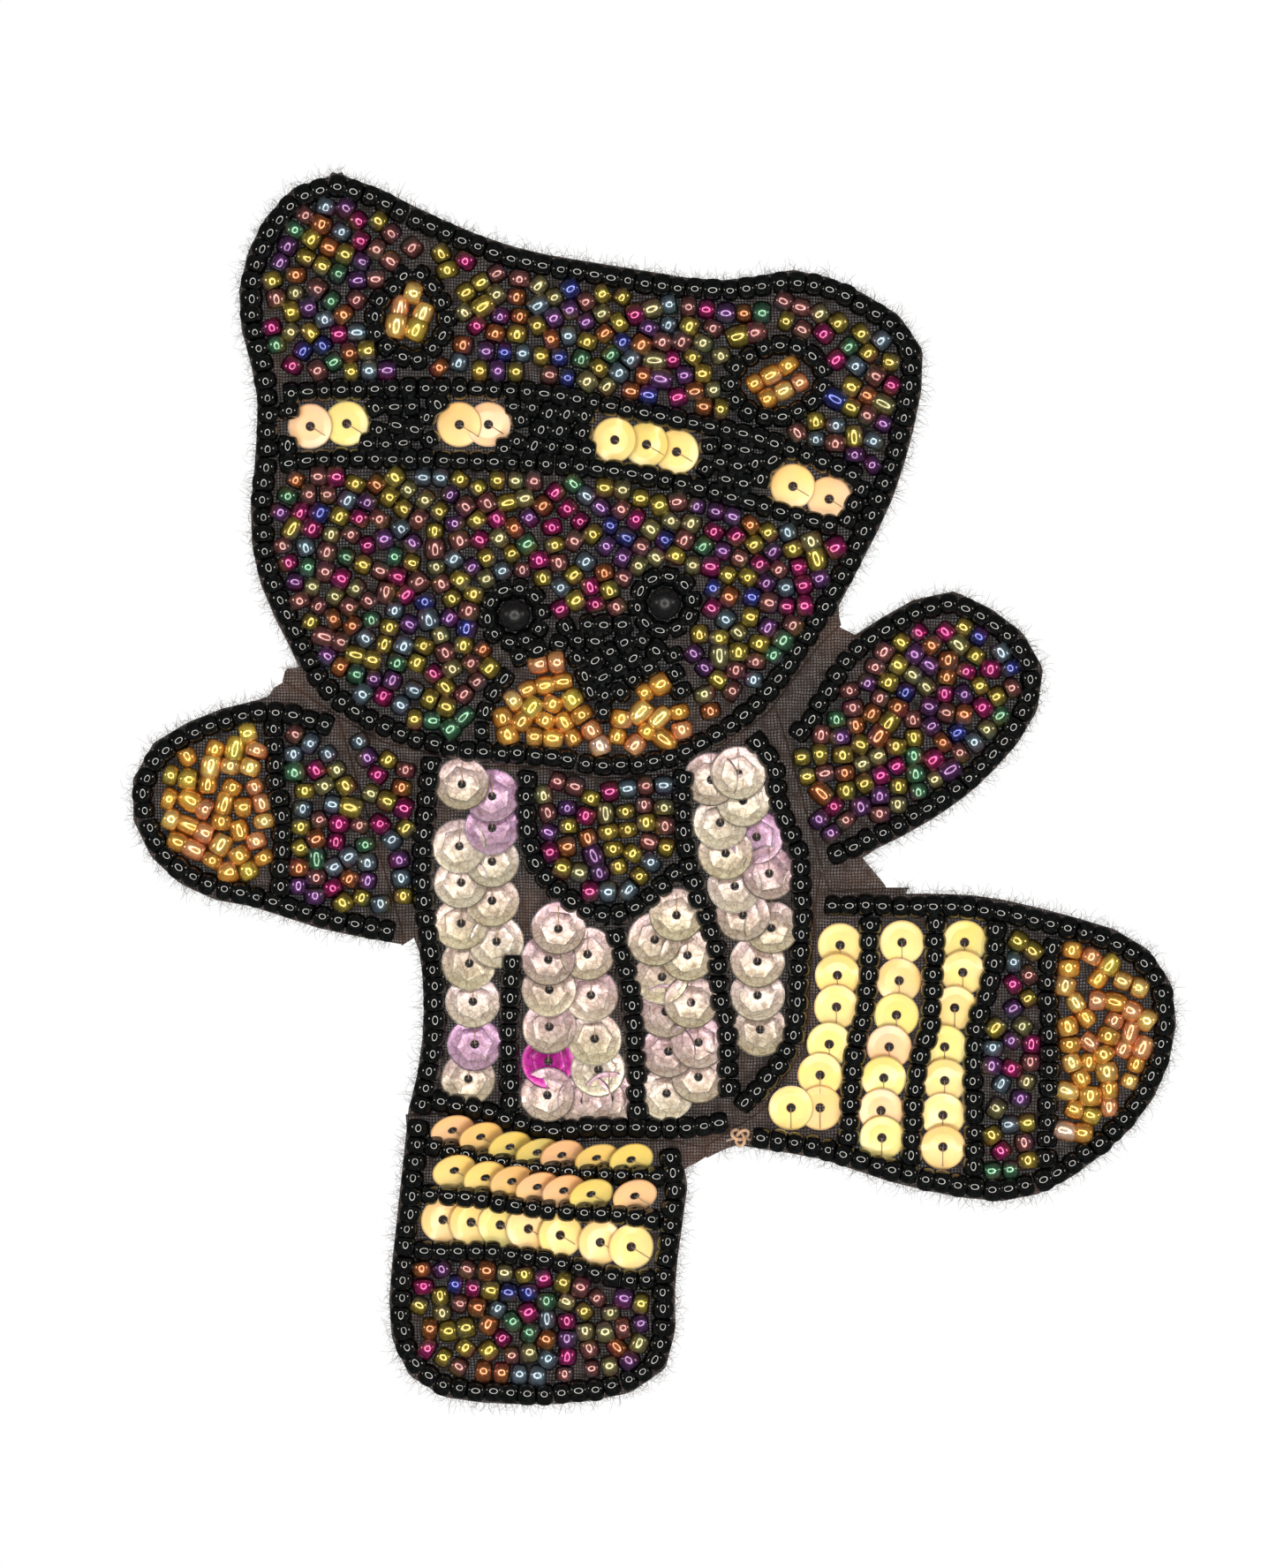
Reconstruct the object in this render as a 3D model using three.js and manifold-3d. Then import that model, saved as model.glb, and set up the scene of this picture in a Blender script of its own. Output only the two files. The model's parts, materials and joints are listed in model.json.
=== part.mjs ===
// A flat teddy bear of seed beads and sequins, sewn to sheer organza as a patch.
// Millimetres. The bear is upright, as when it is sewn to a bag or a jacket: +Z runs to its
// head, +X to the viewer's right, and the beads face -Y. The origin is on the flat back,
// behind the middle of the torso. The organza folds at the neck and at the root of each limb.
// The drawing below is made flat, with +Y up and the beads on +Z, and is stood up at the end.
import * as THREE from 'three';
import { mergeVertices } from 'three/addons/utils/BufferGeometryUtils.js';
import Module from 'manifold-3d';

const wasm = await Module();
wasm.setup();

// Driving dimensions
const CLOTH = 0.3; // thickness of the organza with the threads on its back
const SEWN_GAP = 0.05; // thread under each bead, which lifts it off the organza
const BEAD = 2.2; // diameter of a seed bead
const BEAD_SIDES = 6; // sides of the tube that a row of beads fills
const CLEARANCE = 0.35; // between a row of beads and what lies beside it
const END_CLEARANCE = 0.9; // past the end of a row, so that it still parts what lies beside it
const CLOTH_MARGIN = 2.2; // organza left outside the middle of the outline beads
const CLOTH_CREASE = 0.4; // width of the fold line in the organza
const BEAD_CREASE = 0.8; // width left free of beads along a fold line
const GOLD_SEQUIN = { radius: 2.45, rim: 0.35, rise: 0.3 };
const PINK_SEQUIN = { radius: 3.0, rim: 0.35, rise: 0.5 };
const SEQUIN_SIDES = 10;
const STITCH = { width: 0.8, height: 0.3 }; // thread that runs from sequin to sequin
const EYE = 3.2; // diameter of an eye bead
const KNOT = 1.1; // diameter of the knot at the hip
const BALL_SIDES = 12;
const EYE_RING = { inner: 1.95, outer: 4.1, sides: 16 }; // black beads round an eye
const WINDOW_SIDES = 12; // corners of a round gap that the beads leave
const PROBE = 1; // width of the box that finds the solid at a point
const CURVE_STEP = 4; // length of a straight piece of a curved row
const RING_PIECES = 9; // straight pieces in the shortest rows, which are the rings in the ears
const SMALLEST_DETAIL = 0.08; // an edge is straight where it strays less than this
const DIVIDER = 0.4; // width of a change of colour inside one field of beads

const beadLow = CLOTH + SEWN_GAP;
const beadHigh = beadLow + BEAD;
const rowHalfWidth = (BEAD / 2) * Math.cos(Math.PI / BEAD_SIDES);
const cutTop = beadHigh + 1; // a cut ends here, clear of everything that is sewn on
const mount = new THREE.Vector2(-5, -20); // place in the drawing of the mount on the back

const material = (color, roughness, metalness) =>
  new THREE.MeshStandardMaterial({ color, roughness, metalness });
const organza = material(0x2e2723, 0.8, 0);
const blackBeads = material(0x0b0b0d, 0.15, 0);
const irisBeads = material(0x7c6a52, 0.25, 0.7);
const goldBeads = material(0xc79a4c, 0.2, 0.2);
const goldSequins = material(0xd4b878, 0.3, 0.6);
const pinkSequins = material(0xcdb0bd, 0.25, 0.5);
const eyeBeads = material(0x151617, 0.5, 0);
const tanThread = material(0xb4906a, 0.85, 0);

// Middle lines of the rows of black beads, as points that a smooth curve runs through
const rows = {
  head_outline_row: [
    [-35.3, 66.2], [-39.1, 65], [-41.5, 62.5], [-44.1, 57], [-44.4, 52], [-42.5, 43.9], [-42.6, 37],
    [-43.2, 29], [-42, 22.4], [-38.7, 15.7], [-37.1, 12.2], [-33.9, 9], [-26.3, 5.4], [-18.7, 3.9],
    [-13.3, 3.8], [-5.5, 2.5], [0.7, 3], [5.8, 5.2], [12, 10.1], [17, 17], [21.9, 26], [25.3, 33.3],
    [27.9, 43.1], [28.3, 47.8], [26.5, 50.7], [19.7, 54.6], [16.7, 55.8], [7.8, 54.6], [-4.8, 56.2],
    [-15.8, 58.3], [-24.6, 61.7], [-31.9, 65.3], [-34.6, 66.1],
  ],
  left_ear_row: [[-26.6, 57], [-29.6, 54.2], [-31.3, 51.6], [-27, 46.7], [-22.5, 51.4], [-25.4, 56.2]],
  right_ear_row: [[13.1, 48.8], [9.2, 46.8], [7.7, 44], [13, 40.4], [18.7, 43.9], [18.2, 47.2], [14.3, 48.7]],
  torso_left_row: [
    [-24.5, 3.1], [-25.3, -4], [-25.5, -12], [-24.4, -19], [-24.1, -25.5], [-24.7, -31], [-25.7, -35.4],
  ],
  torso_right_row: [
    [11, 5.4], [13.2, 2.9], [13, 0.5], [13.9, -2.8], [16, -7.2], [15.9, -10.2], [16.3, -15], [15.7, -20.4],
    [15.6, -24.9], [15.1, -28.3], [13.2, -31], [9.5, -35],
  ],
  hip_row: [
    [-24.1, -34.4], [-19.3, -35.3], [-15, -37], [-11, -37.6], [-4.3, -37.2], [2, -37.5], [7.7, -36.8],
  ],
  bib_row: [
    [-14, 1.6], [-14.3, -3.5], [-12.7, -9.3], [-8.5, -13], [-5, -14.4], [-2, -13.2], [0.6, -11], [2.6, -9],
  ],
  inner_left_row: [[-15.7, -18.6], [-16, -26], [-15.9, -35.2]],
  middle_row: [[-4.4, -15.9], [-3.1, -20], [-2.3, -26], [-1.9, -36]],
  inner_right_row: [
    [3.2, 1.6], [3.1, -5], [4.3, -10.1], [5.2, -13.7], [7, -17.4], [6.9, -22], [8.1, -26.5], [7.9, -30.5],
    [8.2, -33.6],
  ],
  left_arm_outline_row: [
    [-35.7, 6.8], [-42.4, 8.5], [-50, 6.4], [-54.4, 3.9], [-56.4, -0.5], [-55, -6], [-49.8, -10.5],
    [-44.6, -11.6], [-36.5, -14.2], [-28.8, -15.7],
  ],
  cuff_row: [[-41.9, 7.1], [-41.5, 0.2], [-40.9, -3.6], [-41.2, -11.4]],
  right_arm_outline_row: [
    [15.7, 5.6], [19.1, 10.6], [21.8, 15], [26.8, 18.2], [31.9, 20.5], [36.5, 18.5], [40.6, 15.1],
    [41.6, 12], [40.2, 7.6], [34.2, 0.8], [27.8, -3.5], [19.5, -7.5],
  ],
  left_leg_outline_row: [
    [-25.9, -36.8], [-26.6, -43.2], [-27.3, -50], [-27.9, -56.5], [-27, -62.6], [-23.5, -65.6],
    [-16.7, -66.5], [-8.2, -66.3], [-2.2, -65], [0.8, -62.2], [0.8, -57], [1.4, -49.7], [2.3, -44.2],
    [1.6, -40],
  ],
  left_leg_row_1: [[-24.9, -39.2], [-18, -41], [-9.1, -42.2], [0.7, -42.7]],
  left_leg_row_2: [[-25.3, -44.6], [-19.3, -45.1], [-11.2, -46.5], [-4.2, -46.8], [0.3, -47.4]],
  left_leg_row_3: [[-26, -50.9], [-17, -51.1], [-9, -52.5], [-4, -54], [-0.3, -54.1]],
  right_leg_outline_row: [
    [18.9, -12.9], [27.2, -13], [35.5, -13.2], [45, -15.3], [51.8, -17.6], [55.2, -20.8], [56.1, -26.6],
    [53.5, -34], [48.4, -39.4], [42.1, -43.4], [37.8, -44.2], [26.3, -42.1], [19.2, -39.7], [11.1, -38.3],
  ],
  right_leg_row_1: [[23.7, -14.5], [23.3, -23.7], [21.9, -29.4], [21.3, -39]],
  right_leg_row_2: [[31, -14.4], [30.6, -20], [30.3, -26], [28.8, -30.5], [28.2, -41]],
  right_leg_row_3: [[37.5, -15], [37.3, -20], [35.5, -25.5], [35, -31], [35.1, -42.2]],
  right_leg_row_4: [[43.9, -17], [43.1, -20.5], [43.5, -28], [43, -41.2]],
};
const closedRows = ['head_outline_row', 'left_ear_row', 'right_ear_row'];

// Fold lines: the neck's runs round under the chin, the others cross the roots of the limbs
const creases = {
  neck: [
    [-46, 14.6], [-39.5, 11], [-34.9, 7.9], [-29.8, 5], [-24.5, 3.75], [-18.7, 2.4], [-13.3, 2.3], [-5.5, 1],
    [0.9, 1.5], [6.7, 4], [12.6, 8.4], [18, 15.6], [23, 20.5],
  ],
  left_arm: [[-34.9, 7.9], [-27.6, -16.4], [-28.6, -21]],
  right_arm: [[13.2, 9.2], [14.6, 4.9], [18.3, -8.4], [19.3, -11.4], [27, -11]],
  left_hip: [
    [-31, -36.2], [-24.1, -35.9], [-19.3, -36.8], [-15.2, -38.4], [-11, -39.1], [-4.3, -38.7], [2, -38.9],
    [5.4, -39.6], [7, -44],
  ],
  right_hip: [
    [18.4, -8.9], [17.6, -13], [17.6, -16], [17.1, -20.6], [17, -25], [16.5, -28.8], [14.2, -32],
    [12, -35.4], [9.6, -37], [5.4, -39.6],
  ],
};

// The webs of bare organza between the limbs
const webs = [
  [[-41, 14], [-34, 12], [-32, 4], [-45, 8]],
  [[11, 2], [20, 8], [23.5, 17], [19, 19.5], [13, 12]],
  [[14, -5], [23, -6.5], [28, -12.5], [16, -14]],
  [[-1, -36], [9, -34], [13, -38], [8.5, -40.4], [3, -43]],
];

// The forehead band and the nose, which are solid fields of black beads
const forehead = [
  [-46, 44.4], [-26.7, 45], [-13.1, 44.7], [-2.9, 42.6], [10.5, 39.9], [20.9, 36], [30, 31],
  [30, 25.5], [22.7, 26.8], [14, 29.4], [0.9, 33.2], [-10.2, 34.7], [-25.6, 35.2], [-37.7, 35.3], [-46, 33.5],
];
const nose = [
  [-14.2, 15.9], [-12.4, 17.2], [-8, 19.1], [-4.6, 18.8], [-2, 19.2], [2.4, 17], [3.1, 14.4], [4.2, 12.5],
  [4, 9.5], [2.1, 9.6], [1.6, 12], [0.6, 12.8], [-1.2, 11.9], [-3.4, 9.6], [-5.7, 6.7], [-7.9, 9.6],
  [-9.2, 14.1], [-11, 15.2], [-13.2, 14.6],
];
const muzzleRow = [[-15, 15.8], [-15.9, 13], [-17.6, 10.6], [-18.6, 8.6], [-18.8, 5.3]];
const eyes = [[-15.4, 19], [1.1, 20.3]];
const goldEdge = [[3.2, 10], [5.8, 5.2]]; // where the gold muzzle beads meet the cheek

// One point inside each field of close-packed beads
const fields = {
  crown_fill: { at: [-8, 50], beads: irisBeads },
  left_ear_fill: { at: [-26.9, 51.8], beads: goldBeads },
  right_ear_fill: { at: [13.2, 44.6], beads: goldBeads },
  face_fill: { at: [-7, 28], beads: irisBeads },
  muzzle_fill: { at: [-12, 9], beads: goldBeads },
  bib_fill: { at: [-5, -5], beads: irisBeads },
  shoulder_fill: { at: [-29.5, 1], beads: irisBeads },
  left_arm_fill: { at: [-36, -2], beads: irisBeads },
  left_paw_fill: { at: [-48, -1], beads: goldBeads },
  right_arm_fill: { at: [28, 8], beads: irisBeads },
  left_foot_fill: { at: [-14, -59], beads: irisBeads },
  right_leg_fill: { at: [39.2, -30], beads: irisBeads },
  right_paw_fill: { at: [50, -27], beads: goldBeads },
};

// Middles of the sequins that one thread holds in a strip
const strips = {
  band_sequins_1: { kind: GOLD_SEQUIN, at: [[-37.9, 39.8], [-33.9, 40.1]] },
  band_sequins_2: { kind: GOLD_SEQUIN, at: [[-21.5, 40], [-18.3, 40]] },
  band_sequins_3: { kind: GOLD_SEQUIN, at: [[-4.4, 38.3], [-0.9, 37.8], [2.4, 37]] },
  band_sequins_4: { kind: GOLD_SEQUIN, at: [[15.2, 33.2], [19.2, 31.8]] },
  sequin_strip_1: {
    kind: PINK_SEQUIN,
    at: [
      [-21.2, 0.4], [-17.9, -0.9], [-17.9, -4.4], [-21.5, -6.4], [-17.9, -8.1], [-21.3, -10.4],
      [-17.9, -12.4], [-21.3, -14.9], [-17.4, -16.9], [-20.4, -19.3], [-20, -23.5], [-19.8, -28.2],
      [-20.5, -32],
    ],
  },
  sequin_strip_2: {
    kind: PINK_SEQUIN,
    at: [
      [-10.6, -15.5], [-7.4, -18.3], [-11.7, -18.9], [-7, -22.8], [-11.6, -22.2], [-11.6, -26.3],
      [-6.6, -27.6], [-11.7, -30.1], [-6.2, -31], [-11.8, -33.8], [-7.7, -34.4], [-5, -34.2],
    ],
  },
  sequin_strip_3: {
    kind: PINK_SEQUIN,
    at: [
      [2.4, -14], [0, -16.7], [3.6, -18.4], [0.8, -20.8], [4, -23.6], [1.2, -24.6], [4.8, -28],
      [1.5, -29], [4.8, -31.8], [1.3, -33.6],
    ],
  },
  sequin_strip_4: {
    kind: PINK_SEQUIN,
    at: [
      [9.2, 1.6], [6.2, 0.9], [9.7, -1.4], [7.2, -3.8], [11.2, -5.4], [7.8, -7.2], [12.6, -9.4],
      [8.8, -10.8], [9.7, -14], [12.8, -15.4], [11.3, -19.1], [11.3, -22.8], [11.6, -26.6],
    ],
  },
  left_leg_sequins_1: {
    kind: GOLD_SEQUIN,
    at: [
      [-22.2, -37.6], [-19.1, -38.3], [-15.9, -39.4], [-12.9, -40], [-10.2, -40.3], [-6.4, -40.6],
      [-2.6, -40.8],
    ],
  },
  left_leg_sequins_2: {
    kind: GOLD_SEQUIN,
    at: [
      [-22, -42], [-18.6, -42.8], [-15.7, -43.2], [-12.9, -43.8], [-10, -44.2], [-7, -44.6], [-2.2, -44.8],
    ],
  },
  left_leg_sequins_3: {
    kind: GOLD_SEQUIN,
    at: [
      [-23.3, -47.5], [-20.2, -47.8], [-17, -48.1], [-13.9, -48.5], [-10.4, -49.2], [-6, -50], [-2.6, -50.5],
    ],
  },
  right_leg_sequins_1: {
    kind: GOLD_SEQUIN,
    at: [[20.4, -17.3], [20.1, -20.6], [20, -24.1], [19.2, -28.2], [18.2, -31.6], [15, -35.2], [18.2, -35.2]],
  },
  right_leg_sequins_2: {
    kind: GOLD_SEQUIN,
    at: [
      [27.2, -17], [26.9, -21.2], [26.6, -25], [25.8, -28.5], [25.2, -31.9], [24.9, -35.5], [25, -38.5],
    ],
  },
  right_leg_sequins_3: {
    kind: GOLD_SEQUIN,
    at: [[34.1, -17], [33.9, -20.3], [33, -24.2], [31.9, -28.5], [31.9, -32.2], [31.7, -36], [31.7, -39.5]],
  },
};

// The round pieces: two eye beads, and a knot of thread where the hip meets the right leg
const balls = {
  left_eye: { at: eyes[0], diameter: EYE, look: eyeBeads },
  right_eye: { at: eyes[1], diameter: EYE, look: eyeBeads },
  thread_knot: { at: [9.4, -38.3], diameter: KNOT, look: tanThread },
};

// One point inside each panel of organza that the fold lines part
const panels = {
  head_cloth: [-8, 30],
  torso_cloth: [-5, -20],
  left_arm_cloth: [-48, -1],
  right_arm_cloth: [30, 8],
  left_leg_cloth: [-14, -59],
  right_leg_cloth: [40, -30],
};

// Places in the drawing are moved so that the mount is at the origin
const flat = ([x, y]) => new THREE.Vector2(x, y).sub(mount);

/** A smooth curve through the points, as corners about one step apart. */
function smooth(points) {
  const corners = points.map(flat).map(({ x, y }) => new THREE.Vector3(x, y, 0));
  const curve = new THREE.CatmullRomCurve3(corners, false, 'centripetal');
  const pieces = Math.max(Math.ceil(curve.getLength() / CURVE_STEP), RING_PIECES);
  return curve.getSpacedPoints(pieces).map(({ x, y }) => new THREE.Vector2(x, y));
}

/** The strip of the given half width along a line of corners, a little longer than it. */
function ribbon(line, halfWidth, extra = 0) {
  const left = [];
  const right = [];
  line.forEach((corner, i) => {
    const before = line[Math.max(i - 1, 0)];
    const after = line[Math.min(i + 1, line.length - 1)];
    const along = after.clone().sub(before).normalize();
    const across = new THREE.Vector2(-along.y, along.x).multiplyScalar(halfWidth);
    const end = i === 0 ? -extra : i === line.length - 1 ? extra : 0;
    const centre = corner.clone().addScaledVector(along, end);
    left.push(centre.clone().add(across));
    right.push(centre.clone().sub(across));
  });
  return [...left, ...right.reverse()];
}

/** Points round a circle. */
const round = (centre, radius, sides) =>
  Array.from({ length: sides }, (_, i) => {
    const angle = (2 * Math.PI * i) / sides;
    return new THREE.Vector2(Math.cos(angle), Math.sin(angle)).multiplyScalar(radius).add(centre);
  });

/** A three.js geometry as a solid that can be joined and cut. */
function solid(geometry) {
  const bare = geometry.clone();
  bare.deleteAttribute('normal');
  bare.deleteAttribute('uv');
  const merged = mergeVertices(bare, 1e-4);
  return new wasm.Manifold(
    new wasm.Mesh({
      numProp: 3,
      vertProperties: merged.attributes.position.array,
      triVerts: new Uint32Array(merged.index.array),
    }),
  );
}

/** The flat plate with the given outline between two heights. */
function plate(outline, low, high) {
  const shape = new THREE.ExtrudeGeometry(new THREE.Shape(outline), {
    depth: high - low,
    bevelEnabled: false,
    curveSegments: 1,
  });
  shape.translate(0, 0, low);
  return solid(shape);
}

const joined = (solids) => wasm.Manifold.union(solids);

/** The one piece of a solid that holds most of the material near a point. */
function pieceAt(whole, point) {
  const { x, y } = flat(point);
  const probe = new THREE.BoxGeometry(PROBE, PROBE, 2 * cutTop).translate(x, y, 0);
  const inside = (piece) => piece.intersect(solid(probe)).volume();
  return whole.decompose().reduce((best, piece) => (inside(piece) > inside(best) ? piece : best));
}

/** The largest piece of a solid, without the crumbs that a cut leaves. */
const largest = (whole) => whole.decompose().reduce((a, b) => (a.volume() > b.volume() ? a : b));

/** A solid as a three.js geometry with flat faces, without the corners it can do without. */
function geometryOf(whole) {
  const { vertProperties, triVerts, numProp } = whole.simplify(SMALLEST_DETAIL).getMesh();
  const indexed = new THREE.BufferGeometry();
  const positions = [];
  for (let i = 0; i < vertProperties.length; i += numProp) {
    positions.push(...vertProperties.slice(i, i + 3));
  }
  indexed.setAttribute('position', new THREE.Float32BufferAttribute(positions, 3));
  indexed.setIndex(Array.from(triVerts));
  const geometry = indexed.toNonIndexed();
  geometry.computeVertexNormals();
  return geometry;
}

const object = new THREE.Group();
object.rotation.x = Math.PI / 2; // stands the drawing up

function addPiece(name, geometry, look) {
  const mesh = new THREE.Mesh(geometry, look);
  mesh.name = name;
  object.add(mesh);
}

/** The six-sided tube, with an edge on top, that a row of beads fills. */
function rowGeometry(line) {
  const section = new THREE.Shape(round(new THREE.Vector2(), BEAD / 2, BEAD_SIDES));
  const height = beadLow + BEAD / 2;
  const corners = line.map(({ x, y }) => new THREE.Vector3(x, y, height));
  const path = new THREE.CurvePath();
  corners.slice(1).forEach((corner, i) => path.add(new THREE.LineCurve3(corners[i], corner)));
  const tube = { getSpacedPoints: () => corners, computeFrenetFrames: () => upright(corners) };
  return new THREE.ExtrudeGeometry(section, {
    steps: corners.length - 1,
    bevelEnabled: false,
    extrudePath: Object.assign(path, tube),
  });
}

/** The frames of a level path whose section stands upright at every corner. */
function upright(corners) {
  const up = new THREE.Vector3(0, 0, 1);
  const tangents = corners.map((_, i) => {
    const before = corners[Math.max(i - 1, 0)];
    const after = corners[Math.min(i + 1, corners.length - 1)];
    return after.clone().sub(before).normalize();
  });
  return {
    tangents,
    normals: tangents.map(() => up.clone()),
    binormals: tangents.map((tangent) => tangent.clone().cross(up)),
  };
}

/** A shallow cone, like a sequin held down at its rim and raised at its stitch. */
function sequin(kind, point) {
  const profile = [
    new THREE.Vector2(0, 0),
    new THREE.Vector2(kind.radius, 0),
    new THREE.Vector2(kind.radius, kind.rim),
    new THREE.Vector2(0, kind.rim + kind.rise),
  ];
  const { x, y } = flat(point);
  const cone = new THREE.LatheGeometry(profile, SEQUIN_SIDES).rotateX(Math.PI / 2);
  return solid(cone.translate(x, y, beadLow));
}

/** The sequins of one strip and the thread that joins them. */
function sequinStrip({ kind, at }) {
  const thread = at.slice(1).map((point, i) => {
    const line = ribbon([flat(at[i]), flat(point)], STITCH.width / 2);
    return plate(line, beadLow, beadLow + STITCH.height);
  });
  return joined([...at.map((point) => sequin(kind, point)), ...thread]);
}

/** The raised black nose with the rings round the eyes and the line down the left cheek. */
function noseSolid(extra, low, high) {
  const disc = (point, radius) => plate(round(flat(point), radius, EYE_RING.sides), low, high);
  const outline = nose.map(flat);
  const parts = [plate(outline, low, high)];
  parts.push(...eyes.map((eye) => disc(eye, EYE_RING.outer + extra)));
  parts.push(plate(ribbon(smooth(muzzleRow), rowHalfWidth + extra), low, high));
  if (extra > 0) {
    const edge = [...outline, outline[0]];
    edge.slice(1).forEach((corner, i) => {
      parts.push(plate(ribbon([edge[i], corner], extra, extra), low, high));
    });
    return joined(parts);
  }
  return joined(parts).subtract(joined(eyes.map((eye) => disc(eye, EYE_RING.inner))));
}

const lines = Object.fromEntries(
  Object.entries(rows).map(([name, points]) => [name, smooth(points)]),
);
const edgeRows = [
  'head_outline_row', 'left_arm_outline_row', 'right_arm_outline_row', 'left_leg_outline_row',
  'right_leg_outline_row', 'torso_left_row', 'torso_right_row', 'hip_row',
];
const torsoOutline = [
  ...rows.torso_left_row, ...rows.hip_row, ...[...rows.torso_right_row].reverse(), [5, 7], [-24, 7],
];

// Each edge row is closed to an outline by corners under the torso, where the row has a gap
const closing = {
  head_outline_row: [],
  left_arm_outline_row: [[-25.5, -15], [-25.5, 4.8], [-34.5, 7.5]],
  right_arm_outline_row: [[13, -7], [13.5, 5]],
  left_leg_outline_row: [[2, -36], [-26, -34]],
  right_leg_outline_row: [[9, -37], [16, -29], [17, -13]],
};
const outlined = (low, high) =>
  joined([
    plate(torsoOutline.map(flat), low, high),
    ...Object.entries(closing).map(([name, corners]) =>
      plate([...lines[name], ...corners.map(flat)], low, high),
    ),
  ]);

// The rows and fold lines part the beaded area into cells, and each field fills one cell
const cut = (line, halfWidth, extra) => plate(ribbon(line, halfWidth, extra), 0, cutTop);
const roomAlong = (line) => cut(line, rowHalfWidth + CLEARANCE, END_CLEARANCE);
const creaseRoom = (width, low, high) =>
  Object.values(creases).flatMap((points) => {
    const line = points.map(flat);
    return line.slice(1).map((corner, i) =>
      plate(ribbon([line[i], corner], width / 2, width / 2), low, high),
    );
  });
const openCells = outlined(beadLow, beadHigh).subtract(
  joined([
    ...Object.values(lines).map(roomAlong),
    ...closedRows.map((name) => roomAlong([lines[name].at(-1), lines[name][0]])),
    ...creaseRoom(BEAD_CREASE, 0, cutTop),
  ]),
);
const band = plate(forehead.map(flat), 0, cutTop);
const cells = openCells.subtract(
  joined([
    band,
    cut([...forehead, forehead[0]].map(flat), CLEARANCE),
    noseSolid(CLEARANCE, 0, cutTop),
    cut(goldEdge.map(flat), DIVIDER / 2, DIVIDER),
  ]),
);

for (const [name, { at, beads }] of Object.entries(fields)) {
  addPiece(name, geometryOf(pieceAt(cells, at)), beads);
}
for (const [name, line] of Object.entries(lines)) {
  addPiece(name, rowGeometry(line), blackBeads);
}

const bandStrips = Object.keys(strips).filter((name) => name.startsWith('band_sequins'));
const windows = bandStrips.flatMap((name) =>
  strips[name].at.map((point) =>
    plate(round(flat(point), GOLD_SEQUIN.radius + CLEARANCE, WINDOW_SIDES), 0, cutTop),
  ),
);
const foreheadBand = openCells.intersect(band).subtract(joined(windows));
addPiece('forehead_band', geometryOf(largest(foreheadBand)), blackBeads);
addPiece('nose_and_eye_rows', geometryOf(noseSolid(0, beadLow, beadHigh)), blackBeads);

for (const [name, strip] of Object.entries(strips)) {
  const look = strip.kind === GOLD_SEQUIN ? goldSequins : pinkSequins;
  addPiece(name, geometryOf(largest(sequinStrip(strip).intersect(openCells))), look);
}

// The margin of a closed row is made in two halves, because in one piece it would overlap itself
const halves = (line) => {
  const middle = Math.floor(line.length / 2);
  return [line.slice(0, middle + 1), line.slice(middle)];
};
const edging = edgeRows.flatMap((name) =>
  closedRows.includes(name) ? halves(lines[name]) : [lines[name]],
);
const clothArea = joined([
  outlined(0, CLOTH),
  ...edging.map((line) => plate(ribbon(line, CLOTH_MARGIN, CLOTH_MARGIN), 0, CLOTH)),
  ...webs.map((outline) => plate(outline.map(flat), 0, CLOTH)),
]);
const cutCloth = clothArea.subtract(joined(creaseRoom(CLOTH_CREASE, -CLOTH, cutTop)));
for (const [name, point] of Object.entries(panels)) {
  addPiece(name, geometryOf(pieceAt(cutCloth, point)), organza);
}

for (const [name, { at, diameter, look }] of Object.entries(balls)) {
  const { x, y } = flat(at);
  const ball = new THREE.SphereGeometry(diameter / 2, BALL_SIDES, BALL_SIDES / 2);
  addPiece(name, ball.translate(x, y, beadLow + diameter / 2), look);
}

export default object;
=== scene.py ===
"""A flat teddy bear of seed beads and sequins, sewn to sheer organza.

The frame gives the rows of beads, the fields that they fill and the middles of the sequins.
Everything is worked out flat, in millimetres, as (u, v, w): u to the viewer's right, v up and
w out of the beaded face. stand() turns that into the frame's own metres.
"""
import json
import math
import random

import bpy
import numpy as np
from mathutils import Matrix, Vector
from mathutils.geometry import delaunay_2d_cdt, intersect_line_line_2d

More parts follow.
